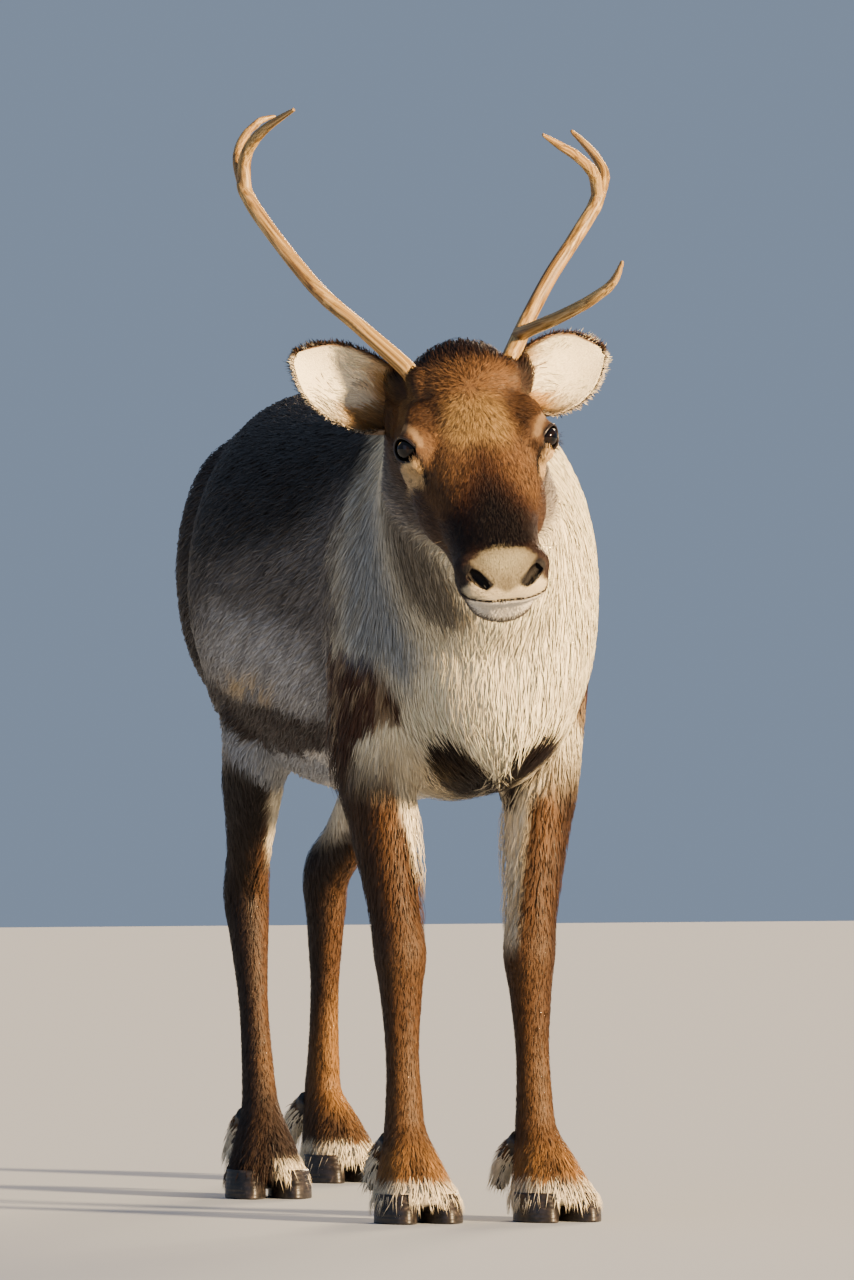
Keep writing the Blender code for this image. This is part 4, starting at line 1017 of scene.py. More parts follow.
@functools.lru_cache(maxsize=1)
def ground():
    """The skin before its openings are cut: points, facings, quads and triangles."""
    shape = melted("ground", flesh_parts(), SKIN_VOXEL, 9, stretched_space())
    mesh = shape.data
    points = positions(mesh) - facings(mesh) * coat_depth(positions(mesh))[:, None]
    sole = np.minimum(points[:, 2] - SOLE, 0.0)
    points[:, 2] -= sole * 0.5
    place(mesh, points)
    out = facings(mesh)
    quads = np.empty(len(mesh.loops), int)
    mesh.loops.foreach_get("vertex_index", quads)
    mesh.calc_loop_triangles()
    triangles = np.empty(len(mesh.loop_triangles) * 3, int)
    mesh.loop_triangles.foreach_get("vertices", triangles)
    drop(shape)
    return points, out, quads.reshape(-1, 4), triangles.reshape(-1, 3)


def eye_axes(side):
    """Where an eye looks, the line through its corners and the way over it, in head space."""
    look = unit(np.array((side * 0.76, -0.51, 0.40)))
    along = np.array((side * -0.394, -0.816, 0.306))
    along = unit(along - look * (along @ look))
    return look, along, np.cross(look, along) * side


def eye_edge(side, count, reach=1.0):
    """Lines through the edge of an eye's opening, as starts and ways from the eye's middle."""
    look, along, over = eye_axes(side)
    turn = math.tau * np.arange(count) / count
    tall = np.sign(np.sin(turn)) * np.abs(np.sin(turn)) ** 0.95
    wide = 0.0142 * np.cos(turn) + 0.0026 * np.maximum(np.cos(turn), 0.0) ** 4
    rim = (np.outer(wide, along) + np.outer(tall, over) * 0.0118) * reach
    return rim * 0.9 + look * 0.002, rim * 0.45 + look * 0.032


def eye_opening(side):
    start, way = eye_edge(side, 40)
    middle = np.array((side * EYE_PLACE.x, EYE_PLACE.y, EYE_PLACE.z))
    count = len(start)
    points = np.vstack((middle + start, middle + start + way))
    faces = [(k, (k + 1) % count, count + (k + 1) % count, count + k) for k in range(count)]
    faces += [tuple(range(count)), tuple(range(count, 2 * count))]
    return to_world((points, faces))


def lid_curve(side, radius, reach=1.0, count=64):
    """The edge of the eye's opening on a ball of the given radius, in head space."""
    start, way = eye_edge(side, count, reach)
    a = (way * way).sum(axis=1)
    b = (way * start).sum(axis=1)
    c = (start * start).sum(axis=1) - radius ** 2
    t = (-b + np.sqrt(b * b - a * c)) / a
    return np.array((side * EYE_PLACE.x, EYE_PLACE.y, EYE_PLACE.z)) + start + way * t[:, None]


def surface_tree():
    points, _, quads, _ = ground()
    return BVHTree.FromPolygons(points.tolist(), quads.tolist())


def nostril(tree, side):
    """A comma-shaped pit along the wing of the nose."""
    points = []
    inward = Vector(head_way(0, 1, 0))
    for x, s, z in NOSTRIL_POINTS:
        hit = tree.ray_cast(from_head(side * x, 0.35, z), inward)[0]
        points.append(hit + inward * 0.0012)
    return tube(points, (0.0028, 0.0054, 0.0066, 0.0044), around=20, along=22)


def mouth_height(t):
    return -0.0465 - 0.021 * np.abs(t) ** 2.2


def mouth_cutter(tree):
    """A thin ribbon that follows the lips."""
    count = 60
    up = Vector(head_way(0, 0, 1))
    points, faces = [], []
    for k in range(count + 1):
        t = 2 * k / count - 1
        aim = (math.sin(t * 1.9), math.cos(t * 1.9))
        way = -Vector(head_way(aim[0], -aim[1], 0.0))
        hit = tree.ray_cast(from_head(aim[0] * 0.2, 0.215 + aim[1] * 0.2, mouth_height(t)), way)[0]
        thin = 0.0007 * (1.0 - 0.6 * abs(t) ** 3)
        for depth, rise in ((0.0042, -thin), (0.0042, thin), (-0.006, thin * 2.4), (-0.006, -thin * 2.4)):
            points.append(hit + way * depth + up * rise)
    for i in range(count):
        for k in range(4):
            n = (k + 1) % 4
            faces.append((i * 4 + k, i * 4 + n, i * 4 + 4 + n, i * 4 + 4 + k))
    faces += [(0, 1, 2, 3), tuple(count * 4 + k for k in range(4))]
    return np.array(points), faces


def make_skin(tints):
    points, _, quads, _ = ground()
    mesh = bpy.data.meshes.new("skin")
    mesh.from_pydata(points.tolist(), [], quads.tolist())
    skin = bpy.data.objects.new("skin", mesh)
    bpy.context.scene.collection.objects.link(skin)
    tree = surface_tree()
    tools = []
    for _, side in SIDES:
        tools.append(plain("opening", [eye_opening(side)]))
        tools.append(plain("socket", [ball(EYES[side], [EYE_RADIUS + CLEAR] * 3, 24, 36)]))
        tools.append(plain("nostril", [nostril(tree, side)]))
    tools.append(plain("mouth", [mouth_cutter(tree)]))
    skin = cut(skin, tools)
    points = positions(skin.data)
    tinted(skin.data, markings_and_painted_light(points, tints))
    lie = coat_lie(points)[0]
    noted(skin.data, "grain", points - lie * (points * lie).sum(axis=1, keepdims=True) * 0.88)
    finished(skin, hide_under_fur(), "back_coat", *FLESH_NODES)
    return skin


FLESH_NODES = ["torso", "neck", "head", "tail"]
FLESH_NODES += [f"{pair}_{part}_{side}" for pair in PAIRS for part in ("upper", "cannon", "foot") for side, _ in SIDES]


def make_coat(sizes, tints):
    points, out, _, triangles = ground()
    draw = np.random.default_rng(sizes.seed)
    _, length, width, _, _ = coat_lie(points)
    density = sizes.cover / (length * width)
    for share, _, _ in leg_places(points).values():
        density *= 1.0 - 0.45 * share * step(0.07, 0.11, points[:, 2]) + 0.9 * share * step(0.050, 0.040, points[:, 2])
    local = head_space(points)
    face = head_share(points) > 0.5
    eye = np.hypot(np.hypot(np.abs(local[:, 0]) - EYE_PLACE.x, local[:, 1] + EYE_PLACE.y),
                   local[:, 2] - EYE_PLACE.z)
    density[face & (eye < 0.0200)] = 0.0
    density[face & (nostril_distance(local) < 0.0070)] = 0.0
    density[face & (mouth_gap(local) < 0.0022)] = 0.0
    density[points[:, 2] < 0.0315] = 0.0
    corners, weights = scattered(points, triangles, density, draw)
    roots = blended(points, corners, weights)
    facing = unit(blended(out, corners, weights))
    charts = body_chart(roots)
    head = head_share(roots) > 0.5
    low = (roots[:, 2] < 0.40) & ~head
    ahead = (roots[:, 1] < -0.22) & ~head & ~low
    groups = (("head_hair", head, "face_coat"), ("leg_hair", low, "leg_coat"),
              ("neck_hair", ahead, "pale_coat"), ("body_hair", ~head & ~low & ~ahead, "back_coat"))
    finish = winter_hair()
    for name, chosen, slot in groups:
        coat_pieces(name, roots[chosen], facing[chosen], charts[chosen], finish, slot, draw, tints)


def make_dewclaw_fringes(sizes):
    """Pale hair that hangs over the dewclaws."""
    draw = np.random.default_rng(sizes.seed + 2)
    rows = []
    for name in JOINTS:
        side = -1 if name.endswith("right") else 1
        fetlock, heading = foot_place(name)
        for spread in (-side, side):
            line, radii = dewclaw_line(fetlock - np.array((0, 0, 0.008)), spread, heading)
            at = draw.random(420) * 0.66
            for t in at:
                here = spline(line, t)
                ahead = unit(spline(line, t + 0.05) - here)
                out = draw.normal(size=3)
                out = unit(out - ahead * (out @ ahead))
                thick = np.interp(t * 3, range(4), radii) * 0.94
                tint = 0xF1E6CC if draw.random() < np.interp(t, (0.02, 0.25), (0.2, 1.0)) else 0x5A3D20
                rows.append((here + out * thick, out, unit(ahead + out * 0.10), linear(tint)))
    roots, out, lie, colours = (np.array(part) for part in zip(*rows))
    n = len(roots)
    shape = (lie, np.full(n, 0.024), np.full(n, 0.0014), np.full(n, 0.10), np.zeros(n))
    hair = tufts("dewclaw_fringes", roots, out, shape, colours, body_chart(roots), 2, draw)
    finished(hair, winter_hair(), "leg_coat")


def foot_place(name):
    fetlock, toe = (np.array(j) for j in JOINTS[name][3:])
    return fetlock, math.atan2(toe[0] - fetlock[0], fetlock[1] - toe[1]) * 0.6


def nostril_distance(local):
    place_ = np.stack((np.abs(local[:, 0]), local[:, 1], local[:, 2]), axis=1)
    return np.min([segment_distance(place_, a, b) for a, b in NOSTRIL_LINE], axis=0)


def mouth_gap(local):
    """The distance above or below the line of the mouth, large away from the lips."""
    x, s, z = local.T
    t = np.arctan2(x, s - 0.215) / 1.9
    return np.where(np.abs(t) < 1.03, np.abs(z - mouth_height(t)), 1.0)


# Ears


def ear_grid(side, rows, columns):
    """Points of the cup's middle surface, its facing to the opening, and place along and across."""
    if side < 0:
        base, tip = np.array((-0.140, -0.535, 0.828)), np.array((-0.236, -0.500, 0.881))
    else:
        base, tip = np.array((-0.004, -0.535, 0.850)), np.array((0.086, -0.490, 0.886))
    axis = unit(tip - base)
    top = np.array((0, 0.2, 1.0))
    across = unit(top - axis * (top @ axis))
    front = np.cross(axis, across) * -side
    if front[1] > 0:
        front = -front
    outline = ((0.0, 0.026, 1.9), (0.18, 0.036, 1.65), (0.38, 0.0385, 1.35), (0.58, 0.037, 1.1),
               (0.76, 0.030, 0.95), (0.90, 0.018, 0.8), (1.0, 0.005, 0.6))
    points = np.empty((rows + 1, columns + 1, 3))
    facing = np.empty_like(points)
    share = np.linspace(-1.0, 1.0, columns + 1)
    for i in range(rows + 1):
        t, width, wrap = spline(outline, i / rows)
        radius = width / math.sin(min(wrap, math.pi / 2))
        middle = base + (tip - base) * t - front * 0.006 * math.sin(t * math.pi)
        turn = wrap * share[:, None]
        points[i] = middle + across * radius * np.sin(turn) - front * radius * (np.cos(turn) - math.cos(wrap))
        facing[i] = unit(front * np.cos(turn) - across * np.sin(turn))
    return points, facing, axis, across, front


def make_ear(side_name, side, tints, draw):
    """A cup with pale hair inside, dark short hair behind and a fringe on its rim."""
    rows, columns = 44, 36
    points, facing, axis, across, front = ear_grid(side, rows, columns)
    half = EAR_WALL / 2
    u = np.linspace(-1.0, 1.0, columns + 1)[None, :]
    v = np.linspace(0.0, 1.0, rows + 1)[:, None]
    thin = (1.0 - 0.7 * np.abs(u) ** 4) * (1.0 - 0.6 * v ** 6)
    inner = points + facing * (half * thin)[..., None]
    outer = points - facing * (half * thin)[..., None]
    count = (rows + 1) * (columns + 1)
    faces = []
    for i in range(rows):
        for k in range(columns):
            a = i * (columns + 1) + k
            quad = (a, a + 1, a + columns + 2, a + columns + 1)
            faces.append(quad)
            faces.append(tuple(j + count for j in quad[::-1]))
    edge = [k for k in range(columns + 1)]
    edge += [(i + 1) * (columns + 1) - 1 for i in range(1, rows + 1)]
    edge += [rows * (columns + 1) + k for k in range(columns - 1, -1, -1)]
    edge += [i * (columns + 1) for i in range(rows - 1, 0, -1)]
    for a, b in zip(edge, edge[1:] + edge[:1]):
        faces.append((a, b, b + count, a + count))
    shell = np.vstack((inner.reshape(-1, 3), outer.reshape(-1, 3)))
    piece = plain(f"ear_skin_{side_name}", [(shell, faces)])
    spread = np.broadcast_to(u, (rows + 1, columns + 1)).ravel()
    far = np.broadcast_to(v, (rows + 1, columns + 1)).ravel()
    inside = ear_colours(spread, far, True, tints)
    behind = ear_colours(spread, far, False, tints)
    tinted(piece.data, np.vstack((inside, behind)))
    noted(piece.data, "grain", shell - axis * (shell @ axis)[:, None] * 0.85)
    finished(piece, hide_under_fur(), "face_coat", f"ear_{side_name}")
    grid = np.arange(count).reshape(rows + 1, columns + 1)
    a, b, c, d = grid[:-1, :-1], grid[:-1, 1:], grid[1:, 1:], grid[1:, :-1]
    triangles = np.concatenate((np.stack((a, b, c), -1).reshape(-1, 3), np.stack((a, c, d), -1).reshape(-1, 3)))
    all_rows = []
    for within, cover in ((True, 3.0), (False, 2.6)):
        face = facing.reshape(-1, 3) * (1 if within else -1)
        skin = (inner if within else outer).reshape(-1, 3)
        length = np.where(np.abs(spread) > 0.72, 0.012, 0.020) if within else np.full(count, 0.010)
        length = np.where(far > 0.85, 0.009, length)
        width = np.full(count, 0.0011)
        corners, weights = scattered(skin, triangles, cover / (length * width), draw)
        swirl = ripple(np.stack((spread, far * 2.0, np.zeros(count)), axis=1), 0.9, 23) * 0.55
        flow_in = unit(axis * 0.9 + across * (spread * 0.5 + swirl)[:, None])
        all_rows.append((blended(skin, corners, weights), unit(blended(face, corners, weights)),
                         unit(blended(flow_in, corners, weights)), blended(length, corners, weights),
                         blended(width, corners, weights), np.full(len(corners), 0.24 if within else 0.14),
                         blended(inside if within else behind, corners, weights),
                         ear_chart(blended(spread, corners, weights), blended(far, corners, weights), within)))
    rim = draw.integers(0, len(edge), 1500)
    at = np.array(edge)[rim]
    at = at[far[at] > 0.06]
    out_way = unit(across * spread[at][:, None] * 1.2 + axis * (far[at] ** 2 * 1.3 + 0.35)[:, None])
    up = unit(facing.reshape(-1, 3)[at] + draw.normal(scale=0.5, size=(len(at), 3)))
    all_rows.append((points.reshape(-1, 3)[at] + draw.normal(scale=0.0006, size=(len(at), 3)), up, out_way,
                     np.full(len(at), 0.0060), np.full(len(at), 0.0010), np.full(len(at), 0.2),
                     rim_colours(spread[at], far[at], draw, tints), ear_chart(spread[at], far[at], True)))
    stacked = [np.concatenate(column) for column in zip(*all_rows)]
    roots, out, lie, length, width, stand, colours, charts = stacked
    shape = (lie, length, width, stand, np.zeros(len(roots)))
    for k in range(0, len(roots), MOST_TUFTS):
        own = slice(k, k + MOST_TUFTS)
        hair = tufts(f"ear_hair_{side_name}_{k // MOST_TUFTS + 1}", roots[own], out[own],
                     [part[own] for part in shape], colours[own], charts[own], 2, draw)
        finished(hair, winter_hair(), "face_coat")


def ear_chart(spread, far, within):
    shift = 0.0 if within else 0.5
    return np.stack((0.02 + shift + 0.22 * (spread + 1.0), 0.02 + 0.95 * far), axis=-1)


def ear_colours(spread, far, within, tints):
    places = np.stack((spread, far, np.zeros_like(far)), axis=1)
    rough = ripple(places, 0.35, 21)
    if within:
        colours = np.tile(linear(0xFEF1CF), (len(far), 1))
        paint(colours, 0xC59A62, step(0.42, 0.14, far + 0.08 * rough))
        paint(colours, 0x8E6840, step(0.16, 0.04, far + 0.05 * rough))
        paint(colours, 0x5E4129, step(0.10, 0.03, np.hypot(spread - 0.25, (far - 0.34) * 2.0)))
        paint(colours, 0x6B4A30, step(0.88, 0.97, spread + 0.03 * rough))
        return colours
    colours = np.tile(linear(0x4A3728), (len(far), 1))
    paint(colours, 0x2C1F17, step(0.45, 0.90, far + 0.1 * rough))
    paint(colours, 0x7A6753, step(0.30, 0.05, far + 0.1 * rough))
    return colours


def rim_colours(spread, far, draw, tints):
    colours = np.tile(linear(0x3F2C20), (len(far), 1))
    paint(colours, 0xE9D8B8, step(0.5, -0.3, spread + draw.normal(scale=0.25, size=len(far))))
    paint(colours, 0x3A281C, step(0.88, 1.0, far) * step(-0.5, 0.2, spread) * 0.8)
    return colours


# Eyes


def make_eye(side_name, side):
    """Ball with a raised cornea, the dark rim of the lids, and the pink corner."""
    look, along, over = eye_axes(side)
    frame_ = np.stack((along, over, look), axis=1)
    points, faces = ball((0, 0, 0), (1.0,) * 3, 40, 56)
    middle = np.array((side * EYE_PLACE.x, EYE_PLACE.y, EYE_PLACE.z))
    bulge = 1.0 + 0.055 * step(0.72, 0.95, points[:, 2])
    local = middle + (points * bulge[:, None] * (EYE_RADIUS - 0.0004)) @ frame_.T
    eye = plain(f"eyeball_{side_name}", [to_world((local, faces))])
    noted(eye.data, "gaze", points)
    finished(eye, wet_eye(), "eye", f"eye_{side_name}")
    rims = []
    for reach, radius, thick in ((1.0, EYE_RADIUS + 0.0022, 0.0012), (1.17, EYE_RADIUS + 0.0034, 0.0011)):
        curve = lid_curve(side, radius, reach, 72)
        rims.append(ring_tube(curve, thick))
    lids = plain(f"lids_{side_name}", [to_world(ring) for ring in rims[:1]])
    finished(lids, lid_skin(), "eye")
    corner = lid_curve(side, EYE_RADIUS + 0.0008, 0.94, 72)[0]
    pink = plain(f"eye_corner_{side_name}", [to_world(ball(corner, (0.0022, 0.0026, 0.0018), 14, 18))])
    finished(pink, pink_corner(), "eye")


def ring_tube(curve, radius, around=10):
    """A closed ring of round section along a closed curve."""
    count = len(curve)
    ahead = unit(np.roll(curve, -1, 0) - np.roll(curve, 1, 0))
    out = unit(curve - curve.mean(axis=0))
    out = unit(out - ahead * (out * ahead).sum(axis=1, keepdims=True))
    up = np.cross(ahead, out)
    turn = math.tau * np.arange(around) / around
    points = (curve[:, None] + radius * (out[:, None] * np.cos(turn)[None, :, None]
                                         + up[:, None] * np.sin(turn)[None, :, None])).reshape(-1, 3)
    faces = []
    for i in range(count):
        for k in range(around):
            n, j = (k + 1) % around, (i + 1) % count
            faces.append((i * around + k, i * around + n, j * around + n, j * around + k))
    return points, faces


# Lashes and whiskers


def bristle_tree(name, count, length, thickness, seed):
    """A node tree that stands tapered bristles on faces, leaning and of unlike length."""
    tree = bpy.data.node_groups.new(name, "GeometryNodeTree")
    sockets = {}
    face = tree.interface
    face.new_socket("Geometry", in_out="INPUT", socket_type="NodeSocketGeometry")
    for label, kind, default in (("Per square metre", "NodeSocketFloat", count), ("Length", "NodeSocketFloat", length),
                                 ("Thickness", "NodeSocketFloat", thickness), ("Seed", "NodeSocketInt", seed),
                                 ("Finish", "NodeSocketMaterial", None)):
        socket = face.new_socket(label, in_out="INPUT", socket_type=kind)
        if default is not None:
            socket.default_value = default
        sockets[label] = socket.identifier
    face.new_socket("Geometry", in_out="OUTPUT", socket_type="NodeSocketGeometry")
    start = node(tree, "NodeGroupInput")
    spread = node(tree, "GeometryNodeDistributePointsOnFaces", {"distribute_method": "RANDOM"},
                  {"Mesh": start.outputs[0], "Density": start.outputs[1], "Seed": start.outputs[4]})
    cone = node(tree, "GeometryNodeMeshCone", {"fill_type": "NGON"},
                {"Vertices": 5, "Side Segments": 6, "Radius Top": 0.0, "Radius Bottom": start.outputs[3],
                 "Depth": start.outputs[2]})
    here = node(tree, "GeometryNodeInputPosition")
    parts = node(tree, "ShaderNodeSeparateXYZ", inputs={"Vector": here.outputs[0]})
    share = node(tree, "ShaderNodeMath", {"operation": "DIVIDE"}, {0: parts.outputs[2], 1: start.outputs[2]})
    curl = node(tree, "ShaderNodeMath", {"operation": "POWER"}, {0: share.outputs[0], 1: 2.0})
    side = node(tree, "ShaderNodeMath", {"operation": "MULTIPLY"}, {0: curl.outputs[0], 1: start.outputs[2]})
    sway = node(tree, "ShaderNodeMath", {"operation": "MULTIPLY"}, {0: side.outputs[0], 1: 0.30})
    offset = node(tree, "ShaderNodeCombineXYZ", inputs={"X": sway.outputs[0]})
    bent = node(tree, "GeometryNodeSetPosition", inputs={"Geometry": cone.outputs["Mesh"], "Offset": offset.outputs[0]})
    lean = node(tree, "FunctionNodeRandomValue", {"data_type": "FLOAT_VECTOR"},
                {"Min": (-0.35, -0.35, 0.0), "Max": (0.35, 0.35, math.tau), "Seed": start.outputs[4]})
    turned = node(tree, "FunctionNodeRotateRotation", {"rotation_space": "LOCAL"},
                  {"Rotation": spread.outputs["Rotation"]})
    euler = node(tree, "FunctionNodeEulerToRotation", inputs={"Euler": lean.outputs[0]})
    tree.links.new(euler.outputs[0], turned.inputs["Rotate By"])
    scale = node(tree, "FunctionNodeRandomValue", {"data_type": "FLOAT"}, {"Seed": start.outputs[4]})
    scale.inputs[2].default_value = 0.55
    scale.inputs[3].default_value = 1.15
    stand = node(tree, "GeometryNodeInstanceOnPoints", inputs={
        "Points": spread.outputs["Points"], "Instance": bent.outputs[0], "Rotation": turned.outputs[0],
        "Scale": scale.outputs[1]})
    real = node(tree, "GeometryNodeRealizeInstances", inputs={0: stand.outputs[0]})
    dressed = node(tree, "GeometryNodeSetMaterial", inputs={"Geometry": real.outputs[0], "Material": start.outputs[5]})
    end = node(tree, "NodeGroupOutput")
    tree.links.new(dressed.outputs[0], end.inputs[0])
    return tree, sockets


def bristles(name, ground_part, count, length, thickness, seed, finish):
    base = plain(name, [ground_part])
    tree, sockets = bristle_tree(name + "_tree", count, length, thickness, seed)
    modifier = base.modifiers.new("Bristles", "NODES")
    modifier.node_group = tree
    modifier[sockets["Finish"]] = finish
    made = baked(base)
    bpy.data.node_groups.remove(tree)
    return made


def strip(curve, out, width):
    """A thin closed strip along a curve. Its wide faces look along out and against it."""
    ahead = unit(np.gradient(curve, axis=0))
    side = np.cross(ahead, out)
    thin = 0.00005
    points = np.concatenate([curve + side * width * a + out * thin * b
                             for a, b in ((-0.5, 1), (0.5, 1), (0.5, -1), (-0.5, -1))])
    n = len(curve)
    faces = []
    for i in range(n - 1):
        for k in range(4):
            m = (k + 1) % 4
            faces.append((k * n + i, m * n + i, m * n + i + 1, k * n + i + 1))
    faces += [tuple(k * n for k in range(4)), tuple(k * n + n - 1 for k in range(4))]
    return points, faces


# Antlers, from the skull to each tip, with the stem's thickness as a share of ANTLER_RADIUS
ANTLERS = {
    "right": {
        "beam": ((-0.121, -0.539, 0.855, 1.15), (-0.131, -0.535, 0.870, 1.12), (-0.169, -0.520, 0.906, 1.0),
                 (-0.206, -0.500, 0.941, 0.95), (-0.231, -0.485, 0.973, 0.95), (-0.257, -0.468, 1.011, 0.92),
                 (-0.274, -0.455, 1.041, 0.90), (-0.279, -0.450, 1.057, 0.86)),
        "front_tine": ((-0.277, -0.452, 1.050, 0.85), (-0.278, -0.453, 1.077, 0.80), (-0.273, -0.465, 1.096, 0.72),
                       (-0.263, -0.490, 1.112, 0.60), (-0.246, -0.535, 1.129, 0.28)),
        "rear_tine": ((-0.277, -0.452, 1.050, 0.80), (-0.279, -0.430, 1.082, 0.72), (-0.267, -0.412, 1.105, 0.58),
                      (-0.249, -0.402, 1.120, 0.45), (-0.232, -0.400, 1.125, 0.25)),
    },
    "left": {
        "beam": ((-0.029, -0.536, 0.868, 1.15), (-0.019, -0.530, 0.884, 1.12), (0.002, -0.510, 0.918, 1.02),
                 (0.031, -0.490, 0.962, 0.97), (0.059, -0.475, 0.998, 0.94), (0.082, -0.465, 1.030, 0.92),
                 (0.091, -0.460, 1.049, 0.88)),
        "front_tine": ((0.089, -0.461, 1.043, 0.82), (0.081, -0.472, 1.067, 0.76), (0.059, -0.490, 1.084, 0.66),
                       (0.035, -0.510, 1.095, 0.52), (0.013, -0.530, 1.105, 0.26)),
        "rear_tine": ((0.089, -0.461, 1.043, 0.80), (0.100, -0.443, 1.064, 0.74), (0.097, -0.430, 1.081, 0.62),
                      (0.085, -0.422, 1.098, 0.48), (0.071, -0.418, 1.112, 0.25)),
        "brow_tine": ((-0.009, -0.520, 0.903, 0.90), (-0.003, -0.558, 0.910, 0.86), (0.013, -0.600, 0.921, 0.80),
                      (0.036, -0.632, 0.937, 0.72), (0.054, -0.652, 0.955, 0.58), (0.062, -0.660, 0.977, 0.26)),
    },
}


def make_antler(side_name, finish):
    """Beam and tines in one skin, with low lengthwise ridges and the grain kept for the finish."""
    stems = ANTLERS[side_name]
    parts = [tube([row[:3] for row in rows], [row[3] * ANTLER_RADIUS for row in rows], 20, 60)
             for rows in stems.values()]
    piece = melted(f"antler_{side_name}", parts, 0.0017, 3)
    line = []
    for rows in stems.values():
        for k in range(81):
            here = spline([row[:3] for row in rows], k / 80)
            ahead = spline([row[:3] for row in rows], min(k / 80 + 0.01, 1.0)) - here
            line.append((here, unit(ahead) if np.linalg.norm(ahead) > 1e-6 else np.array((0, 0, 1.0)), k / 80))
    tree = KDTree(len(line))
    for k, (here, _, _) in enumerate(line):
        tree.insert(here, k)
    tree.balance()
    points = positions(piece.data)
    grain = np.empty_like(points)
    for i, point in enumerate(points):
        here, ahead, _ = line[tree.find(point)[1]]
        away = point - here
        away = unit(away - ahead * (away @ ahead))
        grain[i] = away * 0.008 + np.array((point @ ahead * 0.035,) * 3)
    ridges = ripple(grain, 0.0045, 31) * 0.00022 + ripple(grain, 0.010, 32) * 0.00030
    place(piece.data, points + facings(piece.data) * ridges[:, None])
    noted(piece.data, "grain", grain)
    return finished(piece, finish, "antler", *[f"antler_{side_name}_{label}" for label in stems])


# Hooves


def hoof(centre, heading, outward):
    """One toe with growth rings, a flat sole and a sloping front wall."""
    ahead = np.array((math.sin(heading), -math.cos(heading), 0.0))
    side = np.array((math.cos(heading), math.sin(heading), 0.0)) * outward
    count, levels = 44, 16
    turn = math.tau * np.arange(count) / count
    along, across = np.cos(turn), np.sin(turn)
    rings = []
    for k in range(levels + 1):
        t = k / levels
        share = np.interp(t, (0.0, 0.06, 0.4, 1.0), (0.975, 1.0, 0.97, 0.80))
        share += 0.006 * math.sin(t * 34.0) * min(t * 6, 1.0) * (1 - t)
        shift = -0.004 * max(t - 0.4, 0.0) / 0.6 - 0.001
        wide = (1.0 - 0.30 * np.maximum(along, 0.0) ** 2) * across
        reach = HOOF_LENGTH / 2 * along * share + shift
        sway = HOOF_WIDTH / 2 * (wide + 0.22 * (1 - along * along) - 0.22) * (0.5 + 0.5 * share)
        rings.append(centre + ahead * reach[:, None] + side * sway[:, None] + np.array((0, 0, HOOF_HEIGHT * t)))
    points = np.vstack(rings)
    faces = []
    for i in range(levels):
        for k in range(count):
            n = (k + 1) % count
            faces.append((i * count + k, i * count + n, i * count + count + n, i * count + count + k))
    faces += [tuple(range(count)), tuple(levels * count + k for k in range(count))]
    return points, faces


def dewclaw_line(fetlock, side, heading):
    ahead = np.array((math.sin(heading), -math.cos(heading), 0.0))
    out = np.array((math.cos(heading), math.sin(heading), 0.0)) * side
    start = fetlock - ahead * 0.010 + out * 0.013
    up = np.array((0, 0, 1.0))
    points = [start, start - ahead * 0.018 + out * 0.004 - up * 0.016, start - ahead * 0.026 + out * 0.008 - up * 0.034,
              start - ahead * 0.025 + out * 0.011 - up * 0.052]
    return points, (0.011, 0.0105, 0.0080, 0.0035)


def make_hooves(name, finish):
    side = -1 if name.endswith("right") else 1
    fetlock, heading = foot_place(name)
    toe = JOINTS[name][4]
    parts = []
    for spread in (-side, side):
        parts.append(tube(*dewclaw_line(fetlock - np.array((0, 0, 0.008)), spread, heading), 20, 20))
        across = np.array((math.cos(heading), math.sin(heading), 0.0)) * spread
        centre = np.array((toe[0], toe[1] - 0.006, 0.0)) + across * 0.0245
        parts.append(hoof(centre, heading + spread * 0.10, spread))
    piece = plain(f"hooves_{name}", parts)
    pair, side_name = name.split("_")
    nodes = [f"{pair}_{form}_{label}_{side_name}" for form in ("hoof", "dewclaw") for label in ("inner", "outer")]
    return finished(piece, finish, "hoof", *nodes)


# Finishes


def node(tree, kind, settings=None, inputs=None):
    """Adds a node with its settings. A socket gets a value, or a link when it is given an output."""
    made = tree.nodes.new(kind)
    for key, value in (settings or {}).items():
        setattr(made, key, value)
    for key, value in (inputs or {}).items():
        if isinstance(value, bpy.types.NodeSocket):
            tree.links.new(value, made.inputs[key])
        else:
            made.inputs[key].default_value = value
    return made


def new_finish(name, roughness, **constants):
    made = bpy.data.materials.new(name)
    made.use_nodes = True
    tree = made.node_tree
    shader = tree.nodes["Principled BSDF"]
    shader.inputs["Roughness"].default_value = roughness
    for key, value in constants.items():
        shader.inputs[key.replace("_", " ")].default_value = value
    return made, tree, shader


def ramp(tree, factor, *stops):
    made = node(tree, "ShaderNodeValToRGB", inputs={"Fac": factor})
    band = made.color_ramp
    while len(band.elements) < len(stops):
        band.elements.new(0.5)
    for element, (at, code) in zip(band.elements, stops):
        element.position = at
        element.color = (*linear(code), 1.0)
    return made.outputs["Color"]


def bump(tree, height, distance, strength=1.0, normal=None):
    inputs = {"Height": height, "Distance": distance, "Strength": strength}
    if normal is not None:
        inputs["Normal"] = normal
    return node(tree, "ShaderNodeBump", inputs=inputs).outputs["Normal"]


